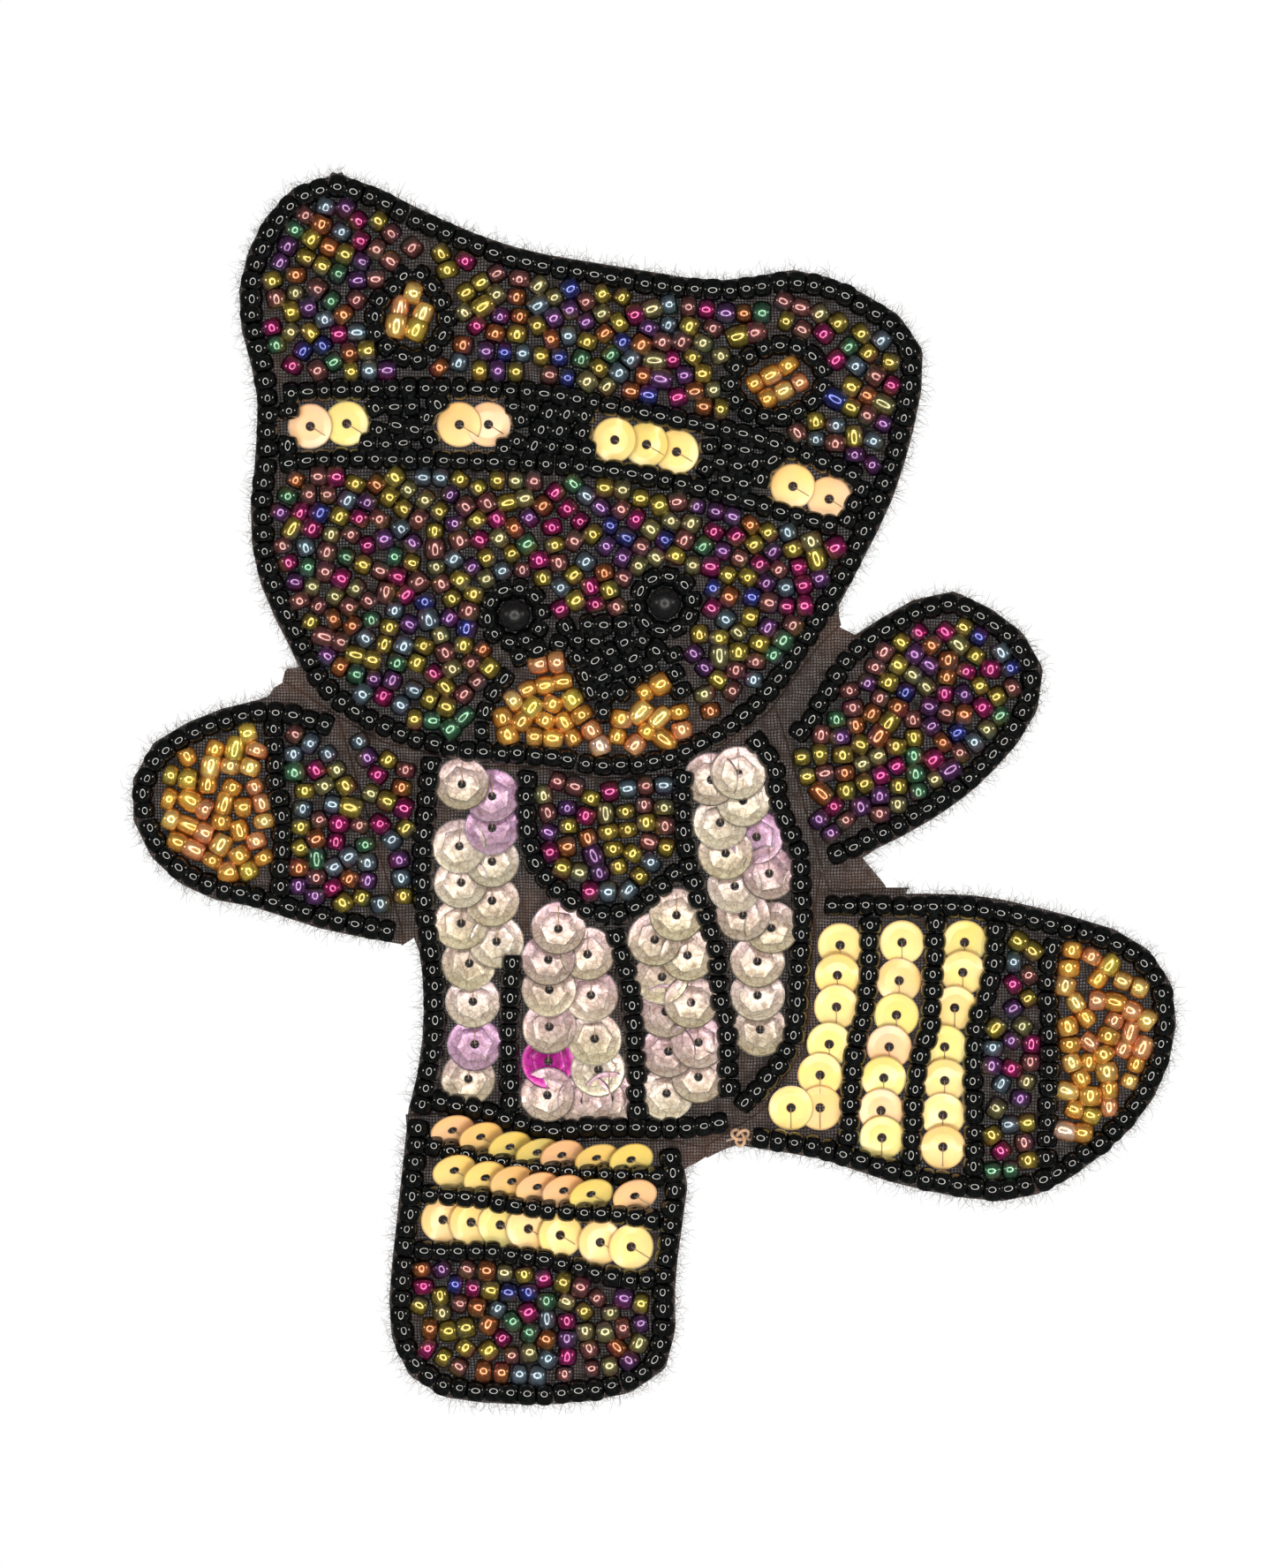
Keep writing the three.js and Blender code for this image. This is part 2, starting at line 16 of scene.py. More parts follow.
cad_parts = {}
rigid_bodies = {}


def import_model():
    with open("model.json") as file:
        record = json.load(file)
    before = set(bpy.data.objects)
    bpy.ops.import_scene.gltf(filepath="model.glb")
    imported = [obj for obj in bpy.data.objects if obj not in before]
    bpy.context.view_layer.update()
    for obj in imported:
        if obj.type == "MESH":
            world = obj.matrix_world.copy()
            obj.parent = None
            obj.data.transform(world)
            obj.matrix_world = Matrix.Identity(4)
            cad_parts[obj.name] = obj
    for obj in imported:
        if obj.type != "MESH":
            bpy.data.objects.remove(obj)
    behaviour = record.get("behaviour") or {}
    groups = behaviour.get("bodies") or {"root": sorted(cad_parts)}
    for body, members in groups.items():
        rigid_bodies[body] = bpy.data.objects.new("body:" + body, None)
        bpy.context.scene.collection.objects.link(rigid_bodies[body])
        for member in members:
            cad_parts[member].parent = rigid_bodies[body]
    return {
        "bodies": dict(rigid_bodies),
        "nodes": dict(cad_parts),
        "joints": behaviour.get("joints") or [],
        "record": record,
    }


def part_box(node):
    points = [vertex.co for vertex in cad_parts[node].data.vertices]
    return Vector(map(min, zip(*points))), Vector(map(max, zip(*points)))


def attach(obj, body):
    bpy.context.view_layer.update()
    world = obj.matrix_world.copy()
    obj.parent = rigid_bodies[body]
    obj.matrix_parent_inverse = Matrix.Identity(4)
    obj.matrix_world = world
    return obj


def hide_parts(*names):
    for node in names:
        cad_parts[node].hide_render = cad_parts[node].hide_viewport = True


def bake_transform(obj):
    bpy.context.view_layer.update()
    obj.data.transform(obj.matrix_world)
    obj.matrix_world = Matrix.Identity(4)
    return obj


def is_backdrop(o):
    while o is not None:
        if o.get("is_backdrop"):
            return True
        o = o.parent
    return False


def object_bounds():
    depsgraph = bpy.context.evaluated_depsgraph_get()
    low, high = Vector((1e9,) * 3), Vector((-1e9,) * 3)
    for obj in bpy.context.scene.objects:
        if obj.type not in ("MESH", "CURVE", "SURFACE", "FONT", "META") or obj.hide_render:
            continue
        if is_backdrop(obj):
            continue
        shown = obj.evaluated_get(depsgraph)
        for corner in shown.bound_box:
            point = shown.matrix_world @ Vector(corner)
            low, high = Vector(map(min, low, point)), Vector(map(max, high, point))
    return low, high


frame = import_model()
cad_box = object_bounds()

MM = 0.001
TOP_SLACK = 0.02  # corners no further than this below the highest one count as on top
PEAK_SLACK = 0.03

# Beads
BEAD_RADIUS = 1.25
BEAD_LENGTH = 1.92
HOLE_RADIUS = 0.34
BEAD_SECTION = 12  # corners round the section of a bead's wall
BEAD_SIDES = 16
ROW_PITCH = 1.88  # from bead to bead along a row
ROW_BEYOND = 0.35  # an open row's thread runs on this far past its tube
FIELD_SPACING = 1.8  # least distance between the beads of a field, before they settle
SETTLED_SPACING = 2.2  # and after, between beads of different threads
THREADED_SPACING = 1.04 * BEAD_LENGTH  # and between beads that hang on one thread
NEIGHBOUR_REACH = 4.5  # only beads nearer than this can come to push each other
TIGHT = 0.93  # black beads are packed closer than that by this much
FILL_PASSES = (1, 0.96, 0.93)  # each pass puts beads that much closer into the gaps that are left
FIELD_INSET = 0.7  # from a field's edge to the middle of a bead
EDGE_INSET = 0.95  # the same for a row that follows the field's edge
CLEAR_OF_ROW = 1.72  # least distance from such a row's bead to the one before
GRID_STEP = 0.3
EYE_RING_RADIUS = 3.0
EYE_RING_BEADS = 10
EYE_RADIUS = 1.78
EYE_HOLE = 0.22
BEAD_BASE = 0.36  # height that the beads rest at
BEAD_WEDGE = 0.09  # most that a bead is longer on one side, for each mm from its middle
BEAD_LEAN = 0.07  # how unevenly beads lie, out of the plane and in it, in radians
BEAD_SWERVE = 0.05
LONG_BEAD = 1.3  # how much longer the odd long bead of a field is
ROW_SIZES = {"length": (0.9, 1.08), "width": (0.94, 1.07), "long_share": 0}
FIELD_SIZES = {"length": (0.86, 1.12), "width": (0.88, 1.08), "long_share": 0.05}
AMBER_SIZES = {"length": (0.85, 1.2), "width": (0.86, 1.1), "long_share": 0.2}
THREAD_REACH = 2.7  # furthest that the next bead on a thread can be
THREAD_BEND = 0.75  # most that a thread turns at a bead, in radians

# Sequins: hole, facet ring, rim, thickness, rise of the rim, facets, depth of the line round them,
# brightness left by the painted shade along the rim and unevenness of their lean
GOLD = {"hole": 0.5, "ring": 1.5, "rim": 2.48, "thick": 0.06, "cup": 0.12, "facets": 0, "groove": 0,
        "edge": 0.5, "sway": 0.03}
PINK = {"hole": 0.46, "ring": 1.75, "rim": 3.02, "thick": 0.06, "cup": 0.3, "facets": 6, "groove": 0.05,
        "edge": 0.28, "sway": 0.05}
SEQUIN_SIDES = 36
GROOVE_HALF = 0.12  # half the width of the line pressed round a sequin's facets
EDGE_SHADE_WIDTH = 0.12  # width of the painted shade along a sequin's rim and round its hole
MAGENTA_SEQUIN = ("sequin_strip_2", 8)  # the strip and the place, counted from the top
SEQUIN_LIFT = 0.25  # height of a flat sequin's hole over the foot of the beads
GOLD_PEAK = 1.0  # height of the tips that mark the sequins' middles in the frame
PINK_PEAK = 1.2

# Organza and threads
CLOTH_HEIGHT = 0.18
CLOTH_STEP = 1.2  # between the corners inside a panel
WITHIN_OUTLINE = 1  # asks for the triangles inside an outline only
CREASE_HALF = 0.3  # the panels meet in the middle of each fold line
NEAR_FOLD = 0.8  # an edge this near to another panel lies along a fold
UNRAVELLED = 0.85  # width of the cut edge that has come undone into loose threads
NEARLY_STRAIGHT = 0.25  # sine of the turn below which a corner of the edge needs no mitre
MITRE_LIMIT = 1.3  # furthest that a corner is moved
WEAVE_PITCH = 0.33
FOLD_HALF = 0.8  # half the gap between the points that across_fold gives on either side of a fold
THREAD_RADIUS = 0.07
STITCH_RADIUS = 0.05
FRAY_PER_MM = 11
FRAY_LENGTH = (0.3, 1.5)
FRAY_RADIUS = (0.012, 0.028)
NO_FRAY = 1.2  # no loose threads this near to another panel

rng = random.Random(7)
node_body = {n: b for b, ns in frame["record"]["behaviour"]["bodies"].items() for n in ns}
node_slot = {s["node"]: s["material_slot"] for s in frame["record"]["subparts"]}


# ---- from the frame

def stand(points):
    """Flat (u, v, w) millimetres as upright metres."""
    p = np.asarray(points, float).reshape(-1, 3)
    return np.column_stack([p[:, 0], -p[:, 2], p[:, 1]]) * MM


def welded(node):
    """The CAD node's corners as (u, v, w), one per place, and its triangles."""
    mesh = frame["nodes"][node].data
    co = np.array([v.co for v in mesh.vertices]) / MM
    flat = np.round(np.column_stack([co[:, 0], co[:, 2], -co[:, 1]]), 2)
    corners, same = np.unique(flat, axis=0, return_inverse=True)
    same = same.reshape(-1)
    mesh.calc_loop_triangles()
    triangles = same[np.array([t.vertices for t in mesh.loop_triangles])]
    return corners, triangles


def top_of(node):
    """The triangles of a plate's top face, and its edge as loops of points with the plate on their left."""
    corners, triangles = welded(node)
    high = corners[:, 2].max()
    top = [t for t in triangles if (corners[t, 2] > high - TOP_SLACK).all()]
    edges = {(t[i], t[(i + 1) % 3]) for t in top for i in range(3)}
    onward = {}
    for a, b in sorted(edges):
        if (b, a) not in edges:
            onward.setdefault(a, []).append(b)
    loops = []
    while onward:
        start = here = min(onward)
        loop = []
        while not loop or here != start:
            loop.append(here)
            ahead = onward[here].pop()
            if not onward[here]:
                del onward[here]
            here = ahead
        loops.append(corners[loop][:, :2])
    return corners[np.array(top)][:, :, :2], loops


def ridge(node):
    """The middle line of a row, from the edge along the top of its tube."""
    corners, triangles = welded(node)
    high = corners[:, 2].max()
    on_top = {i for i in range(len(corners)) if corners[i, 2] > high - TOP_SLACK}
    near = {i: set() for i in on_top}
    for t in triangles:
        for a, b in ((t[0], t[1]), (t[1], t[2]), (t[2], t[0])):
            if a in on_top and b in on_top:
                near[a].add(b)
                near[b].add(a)
    here = min(on_top, key=lambda i: (len(near[i]), i))
    line, seen = [here], {here}
    while near[here] - seen:
        here = min(near[here] - seen, key=lambda i: np.hypot(*(corners[i] - corners[here])[:2]))
        line.append(here)
        seen.add(here)
    return corners[line][:, :2]


def peaks(node, height):
    """The middles of the sequins in a strip, from the tops of its shallow cones."""
    corners, _ = welded(node)
    return corners[np.abs(corners[:, 2] - height) < PEAK_SLACK][:, :2]


def middle_of(node):
    """The (u, v) in the middle of a CAD node."""
    low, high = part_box(node)
    return (low.x + high.x) / 2 / MM, (low.z + high.z) / 2 / MM


# ---- curves in the plane

def rounded(line, closed=False):
    """A line with its corners cut twice, so that it bends smoothly."""
    for _ in range(2):
        ends = list(zip(line, np.roll(line, -1, axis=0)))
        pairs = ends if closed else ends[:-1]
        cut = [p for a, b in pairs for p in (0.75 * a + 0.25 * b, 0.25 * a + 0.75 * b)]
        line = np.array(cut if closed else [line[0], *cut, line[-1]])
    return line


def spaced(line, pitch, closed=False, beyond=0.0):
    """Points about one pitch apart along a line, run on past its ends, and its direction at each."""
    if closed:
        line = np.vstack([line, line[:1]])
    elif beyond:
        first, last = line[0] - line[1], line[-1] - line[-2]
        before = line[0] + beyond * first / np.hypot(*first)
        after = line[-1] + beyond * last / np.hypot(*last)
        line = np.vstack([before, line, after])
    steps = np.hypot(*np.diff(line, axis=0).T)
    along = np.concatenate([[0], np.cumsum(steps)])
    count = max(2, round(along[-1] / pitch))
    if closed:
        at = np.arange(count) * along[-1] / count
    else:
        at = (np.arange(count) + 0.5) * along[-1] / count

    def place(distance):
        return np.column_stack([np.interp(distance, along, line[:, k]) for k in (0, 1)])

    turn = place(at + 0.4) - place(at - 0.4)
    return place(at), np.arctan2(turn[:, 1], turn[:, 0])


def beside(points, a, b):
    """How far the points lie to the left of the line from a to b, times its length."""
    return (b[0] - a[0]) * (points[:, 1] - a[1]) - (b[1] - a[1]) * (points[:, 0] - a[0])


def inside(points, triangles):
    """Which points lie in one of the triangles."""
    hit = np.zeros(len(points), bool)
    for a, b, c in triangles:
        hit |= np.all([beside(points, p, q) >= -1e-6 for p, q in ((a, b), (b, c), (c, a))], axis=0)
    return hit


def from_edge(points, loops):
    """How far each point is from the nearest edge, and the way from that edge to it."""
    best = np.full(len(points), 1e9)
    away = np.zeros((len(points), 2))
    for loop in loops:
        for a, b in zip(loop, np.roll(loop, -1, axis=0)):
            d = b - a
            t = np.clip(((points - a) @ d) / max(d @ d, 1e-9), 0, 1)
            gap = points - (a + t[:, None] * d)
            far = np.hypot(*gap.T)
            nearer = far < best
            best[nearer] = far[nearer]
            away[nearer] = gap[nearer] / np.maximum(far[nearer], 1e-6)[:, None]
    return best, away


# ---- meshes

def linked(name, data):
    """A new object in the scene that shows the data."""
    thing = bpy.data.objects.new(name, data)
    bpy.context.scene.collection.objects.link(thing)
    return thing


def new_mesh(name, points, faces, tint=None):
    """A mesh object from flat millimetres, with a colour at every corner if tint is given."""
    mesh = bpy.data.meshes.new(name)
    mesh.from_pydata(stand(points).tolist(), [], [list(map(int, f)) for f in faces])
    mesh.polygons.foreach_set("use_smooth", [True] * len(mesh.polygons))
    if tint is not None:
        layer = mesh.attributes.new("tint", "FLOAT_COLOR", "POINT")
        rgba = np.column_stack([tint, np.ones(len(tint))])
        layer.data.foreach_set("color", rgba.astype(np.float32).ravel())
    mesh.update()
    return linked(name, mesh)


def rings_joined(rings, sides, closed):
    """Four-cornered faces between rings of corners, and back to the first ring if closed."""
    faces = []
    for k in range(rings if closed else rings - 1):
        for s in range(sides):
            t, n = (s + 1) % sides, (k + 1) % rings
            faces.append((k * sides + s, k * sides + t, n * sides + t, n * sides + s))
    return faces


def lathe(profile, sides, radius_at=None):
    """A closed ring of four-cornered faces: profile is (along, radius) pairs turned about the x axis."""
    angles = 2 * math.pi * np.arange(sides) / sides
    points = []
    for k, (x, r) in enumerate(profile):
        for a in angles:
            reach = r if radius_at is None else radius_at(k, r, a)
            points.append((x, reach * math.cos(a), reach * math.sin(a)))
    return np.array(points), np.array(rings_joined(len(profile), sides, True))


def wall_profile(length, outer, hole, squareness=2.15):
    """The section of a bead's wall: a rounded rectangle between the hole and the outside."""
    middle, half = (outer + hole) / 2, (outer - hole) / 2
    profile = []
    for i in range(BEAD_SECTION):
        a = 2 * math.pi * i / BEAD_SECTION
        c, s = math.cos(a), math.sin(a)
        x = length / 2 * math.copysign(abs(c) ** (2 / squareness), c)
        r = middle + half * math.copysign(abs(s) ** (2 / squareness), s)
        profile.append((x, r))
    return profile


def ball_profile(radius, hole, steps=14):
    """The section of a round bead with a hole through it."""
    least = math.asin(hole / radius)
    angles = np.linspace(least, math.pi - least, steps)
    return [(radius * math.cos(a), radius * math.sin(a)) for a in angles]


def tube(points, radius, sides=5):
    """A thread through the points, closed at both ends, as corners and faces."""
    p = np.asarray(points, float)
    ahead = np.gradient(p, axis=0)
    ahead /= np.maximum(np.linalg.norm(ahead, axis=1), 1e-9)[:, None]
    up = np.tile([0.0, 0.0, 1.0], (len(p), 1))
    steep = np.abs(ahead[:, 2]) > 0.9
    up[steep] = [1.0, 0.0, 0.0]
    side = np.cross(ahead, up)
    side /= np.maximum(np.linalg.norm(side, axis=1), 1e-9)[:, None]
    over = np.cross(side, ahead)
    radii = np.broadcast_to(radius, len(p))
    corners = []
    for i in range(len(p)):
        for s in range(sides):
            a = 2 * math.pi * s / sides
            corners.append(p[i] + radii[i] * (math.cos(a) * side[i] + math.sin(a) * over[i]))
    ends = [list(range(sides))[::-1], [(len(p) - 1) * sides + s for s in range(sides)]]
    return np.array(corners), ends + rings_joined(len(p), sides, False)


class Threads:
    """Many tubes gathered into one mesh."""

    def __init__(self):
        self.points, self.faces, self.tints = [], [], []
        self.count = 0

    def add(self, points, radius, tint=(0.02, 0.02, 0.02), sides=5):
        corners, faces = tube(points, radius, sides)
        self.faces += [[self.count + i for i in f] for f in faces]
        self.points.append(corners)
        self.tints.append(np.tile(tint, (len(corners), 1)))
        self.count += len(corners)

    def mesh(self, name):
        return new_mesh(name, np.vstack(self.points), self.faces, np.vstack(self.tints))


# ---- colours

def linear(r, g, b):
    """A colour given in 0-255 screen steps, as the linear values that shaders use."""
    return np.array([((c / 255 + 0.055) / 1.055) ** 2.4 if c > 10 else c / 3294.6 for c in (r, g, b)])


# How often each iris colour comes, its colour where it faces out, and its darker colour at the bead's sides,
# which is painted shade
IRIS = [
    (22, (186, 170, 74), (54, 42, 8)),
    (10, (160, 158, 112), (46, 42, 24)),
    (13, (172, 46, 116), (64, 6, 36)),
    (17, (152, 102, 100), (56, 28, 28)),
    (15, (114, 74, 134), (38, 14, 48)),
    (12, (122, 146, 162), (22, 32, 48)),
    (3, (58, 70, 152), (22, 14, 62)),
    (6, (88, 142, 110), (16, 46, 30)),
    (9, (182, 112, 66), (68, 28, 8)),
]
# Amber: a light colour where the bead faces out, painted light for the glow of a silver lining, and a dark
# one at its sides, painted shade
AMBER = [
    (12, (228, 174, 84), (128, 66, 10)),
    (5, (240, 204, 130), (136, 80, 20)),
    (3, (226, 164, 126), (144, 72, 32)),
    (2, (212, 194, 92), (114, 86, 12)),
    (1, (220, 190, 182), (132, 90, 64)),
]
# The black beads' second colour is painted shade at their sides too
JET = [(1, (4, 5, 6), (1, 2, 2)), (1, (6, 6, 6), (2, 2, 2))]
GOLD_TINTS = [
    (4, (236, 210, 144), (222, 190, 118)),
    (3, (240, 206, 150), (226, 182, 120)),
    (2, (222, 208, 134), (206, 186, 108)),
    (2, (240, 198, 158), (226, 176, 136)),
]
PINK_TINTS = [
    (4, (212, 203, 172), (196, 172, 175)),
    (3, (212, 198, 180), (192, 158, 175)),
    (2, (222, 214, 190), (208, 186, 192)),
    (1, (198, 168, 191), (178, 134, 178)),
]
MAGENTA_TINT = [(1, (184, 20, 150), (140, 8, 116))]


def pick(palette):
    """The two colours of one of a palette's entries, which come as often as their first number says."""
    return [linear(*c) for c in rng.choices(palette, weights=[p[0] for p in palette])[0][1:]]


# ---- beads

bead_points, bead_faces = lathe(wall_profile(BEAD_LENGTH, BEAD_RADIUS, HOLE_RADIUS), BEAD_SIDES)
bead_faces = bead_faces[:, ::-1]  # so that they face out


def corner_normals(points, faces):
    """The direction that the surface faces at each corner."""
    normals = np.zeros_like(points)
    for f in faces:
        n = np.cross(points[f[2]] - points[f[0]], points[f[3]] - points[f[1]])
        normals[f] += n
    return normals / np.maximum(np.linalg.norm(normals, axis=1), 1e-12)[:, None]


bead_normals = corner_normals(bead_points, bead_faces)


def turned(points, heading, pitch):
    """Points turned so that the x axis heads that way in the plane, tipped by pitch."""
    ch, sh, cp, sp = math.cos(heading), math.sin(heading), math.cos(pitch), math.sin(pitch)
    x, y, z = points.T
    x, z = cp * x - sp * z, sp * x + cp * z
    return np.column_stack([ch * x - sh * y, sh * x + ch * y, z])


def spun(points, spin):
    """Points turned about the x axis."""
    c, s = math.cos(spin), math.sin(spin)
    x, y, z = points.T
    return np.column_stack([x, c * y + s * z, c * z - s * y])


def bead_shape(heading, long, wide):
    """The corners of a bead that lies along a heading, and the way that it faces at each."""
    spin = rng.uniform(0, math.tau)
    wedge = rng.uniform(-BEAD_WEDGE, BEAD_WEDGE)
    x, y, z = spun(bead_points, spin).T
    shape = np.column_stack([x * long * (1 + wedge * y), y * wide, z * wide])
    lean = rng.gauss(0, BEAD_LEAN)
    shape = turned(shape, heading + rng.gauss(0, BEAD_SWERVE), lean)
    return shape, turned(spun(bead_normals, spin), heading, lean)


def tint_and_side_shade(facing, palette):
    """A bead's colours: one where it faces out, a darker one at its sides as painted shade, and another
    film's on one side.
    """
    front, rim = pick(palette)
    side = rng.uniform(0, math.tau)
    toward = np.clip(facing[:, 2], 0, 1) ** 2.4
    aside = np.clip(facing[:, :2] @ [math.cos(side), math.sin(side)], 0, 1)
    # Painted shade: the colour goes from the front colour where the bead faces out to the darker one at its
    # sides
    tint = rim + toward[:, None] * (front - rim)
    tint = tint + 0.35 * aside[:, None] * (pick(palette)[0] - tint)
    return rng.uniform(0.75, 1.15) * tint


def bead_cluster(name, beads, palette, length, width, long_share):
    """One mesh of beads, each given as (u, v, heading), with its own size, lean and colours."""
    points, faces, tints = [], [], []
    for i, (u, v, heading) in enumerate(beads):
        wide = rng.uniform(*width)
        long = rng.uniform(*length) * (LONG_BEAD if rng.random() < long_share else 1)
        shape, facing = bead_shape(heading, long, wide)
        points.append(shape + [u, v, BEAD_BASE + BEAD_RADIUS * wide])
        faces.append(bead_faces + i * len(bead_points))
        tints.append(tint_and_side_shade(facing, palette))
    return new_mesh(name, np.vstack(points), np.vstack(faces), np.vstack(tints))


# ---- filling a field with beads

def dart_fill(candidates, taken, spacing):
    """Points picked in random order, none closer than the spacing to another."""
    order = list(range(len(candidates)))
    rng.shuffle(order)
    kept = [np.asarray(t[:2], float) for t in taken]
    new = []
    for i in order:
        p = candidates[i]
        if all(abs(p[0] - q[0]) > spacing or abs(p[1] - q[1]) > spacing
               or math.hypot(*(p - q)) > spacing for q in kept):
            kept.append(p)
            new.append(p)
    return np.array(new).reshape(-1, 2)


def next_on_thread(points, loose, here, heading, first):
    """The loose bead that best carries a thread on from here, with its score and the way to it."""
    best = None
    for j in loose:
        gap = points[j] - points[here]
        far = math.hypot(*gap)
        way = math.atan2(gap[1], gap[0])
        bend = abs((way - heading + math.pi) % math.tau - math.pi)
        if far > THREAD_REACH or (bend > THREAD_BEND and not first):
            continue
        score = far + (0.2 if first else 0.7) * bend
        if best is None or score < best[0]:
            best = (score, j, way)
    return best


def strands(points, fixed, longest):
    """Chains of neighbouring beads that hang on one thread: lists of indices."""
    free = [i for i in range(len(points)) if i not in fixed]
    rng.shuffle(free)
    loose = set(free)
    chains = []
    for i in free:
        if i not in loose:
            continue
        loose.discard(i)
        chain = [i]
        heading = rng.uniform(0, math.tau)
        size = rng.randint(2, longest)
        while len(chain) < size:
            best = next_on_thread(points, loose, chain[-1], heading, len(chain) == 1)
            if best is None:
                break
            heading = best[2]
            loose.discard(best[1])
            chain.append(best[1])
        chains.append(chain)
    return chains


def settle(points, chains, fixed, loops, inset, spacing, rounds=60):
    """Draws the beads of a chain together and pushes all others apart, inside the edge."""
    held = np.zeros(len(points), bool)
    held[list(fixed)] = True
    joined = {}
    for chain in chains:
        for a, b in zip(chain, chain[1:]):
            joined[(min(a, b), max(a, b))] = THREADED_SPACING
    pairs = [(i, j) for i in range(len(points)) for j in range(i + 1, len(points))
             if math.hypot(*(points[i] - points[j])) < NEIGHBOUR_REACH]
    a = np.array([p[0] for p in pairs])
    b = np.array([p[1] for p in pairs])
    rest = np.array([joined.get(p, 0) for p in pairs])
    triples = np.array([t for c in chains for t in zip(c, c[1:], c[2:])]).reshape(-1, 3)
    for _ in range(rounds):
        gap = points[b] - points[a]
        far = np.maximum(np.hypot(*gap.T), 1e-6)
        want = np.where(rest > 0, rest, np.maximum(far, spacing))
        move = (0.25 * (far - want) / far)[:, None] * gap
        shift = np.zeros_like(points)
        np.add.at(shift, a, move)
        np.add.at(shift, b, -move)
        if len(triples):
            straight = (points[triples[:, 0]] + points[triples[:, 2]]) / 2 - points[triples[:, 1]]
            np.add.at(shift, triples[:, 1], 0.12 * straight)
        edge, away = from_edge(points, loops)
        near = edge < inset
        shift[near] += away[near] * (inset - edge[near])[:, None]
        shift[held] = 0
        points = points + shift
    return points


def headings(points, chains):
    """The way that each bead's hole runs: along its chain, or any way if it is alone."""
    turn = [rng.uniform(0, math.pi) for _ in points]
    for chain in chains:
        for k, i in enumerate(chain):
            if len(chain) > 1:
                gap = points[chain[min(k + 1, len(chain) - 1)]] - points[chain[max(k - 1, 0)]]
                turn[i] = math.atan2(gap[1], gap[0])
    return turn


def edge_beads(loops, triangles, taken):
    """A row of beads along a field's edge, where no other bead is in the way."""
    row = list(taken)
    for loop in loops:
        spots, turns = spaced(rounded(loop, True), ROW_PITCH, True)
        spots = spots + EDGE_INSET * np.column_stack([-np.sin(turns), np.cos(turns)])
        for p, turn in zip(spots, turns):
            clear = all(math.hypot(p[0] - q[0], p[1] - q[1]) > CLEAR_OF_ROW for q in row)
            if clear and inside(p[None], triangles)[0]:
                row.append((p[0], p[1], turn))
    return row


def grid_inside(triangles, loops, inset):
    """A fine grid of the places where the middle of a bead can go."""
    low, high = triangles.reshape(-1, 2).min(0), triangles.reshape(-1, 2).max(0)
    lines = [np.arange(low[k], high[k], GRID_STEP) for k in (0, 1)]
    grid = np.stack(np.meshgrid(*lines), -1).reshape(-1, 2)
    grid = grid[inside(grid, triangles)]
    return grid[from_edge(grid, loops)[0] > 0.85 * inset]


def fill(node, taken=(), longest=5, edge_row=False):
    """Beads (u, v, heading) that fill a field, and the chains that they are sewn down in."""
    triangles, loops = top_of(node)
    tight = TIGHT if edge_row else 1.0
    inset = FIELD_INSET * (0.8 if edge_row else 1.0)
    fixed = edge_beads(loops, triangles, taken) if edge_row else list(taken)
    grid = grid_inside(triangles, loops, inset)
    still = set(range(len(fixed)))
    points = np.array([f[:2] for f in fixed]).reshape(-1, 2)
    for closer in FILL_PASSES:
        points = np.vstack([points, dart_fill(grid, points, closer * FIELD_SPACING * tight)])
        chains = strands(points, still, longest)
        points = settle(points, chains, still, loops, inset, SETTLED_SPACING * tight)
    turns = headings(points, chains)
    beads = []
    for i, (p, t) in enumerate(zip(points, turns)):
        beads.append(tuple(fixed[i]) if i in still else (p[0], p[1], t))
    return beads, [[beads[i][:2] for i in c] for c in chains]


# ---- sequins

FACET_RINGS = (2, 3, 4)  # rings of corners, counted from the hole, that follow the facets
RIM_RING = 7


def sequin_template(kind):
    """A sequin with its hole, as corners, faces and how bright each corner's colour is, after painted shade
    darkens it at the hole, in the line round the facets and along the rim.
    """
    ring, rim, hole, cup = kind["ring"], kind["rim"], kind["hole"], kind["cup"]
    # Painted shade: the hole's edge, the line round the facets and the rim get a darker colour
    line = 0.35 if kind["facets"] else 1.0
    top = [
        (0.0, hole, 0.35), (0.003, hole + EDGE_SHADE_WIDTH, 1.0),
        (0.02, ring - GROOVE_HALF, 1.0), (0.02 - kind["groove"], ring, line), (0.03, ring + GROOVE_HALF, 1.0),
        (0.9 * cup, rim - 1.6 * EDGE_SHADE_WIDTH, 1.0),
        (0.95 * cup, rim - EDGE_SHADE_WIDTH, kind["edge"]), (cup, rim, kind["edge"]),
    ]
    bright = np.repeat([p[2] for p in top + top[::-1]], SEQUIN_SIDES)
    profile = [p[:2] for p in top] + [(h - kind["thick"], r) for h, r, _ in reversed(top)]
    step = math.tau / max(kind["facets"], 1)

    def reach(k, r, a):
        faceted = kind["facets"] and min(k, len(profile) - 1 - k) in FACET_RINGS
        return r / math.cos((a % step) - step / 2) if faceted else r

    points, faces = lathe(profile, SEQUIN_SIDES, reach)
    points = np.column_stack([points[:, 1], points[:, 2], points[:, 0]])
    return points, faces[:, ::-1], bright


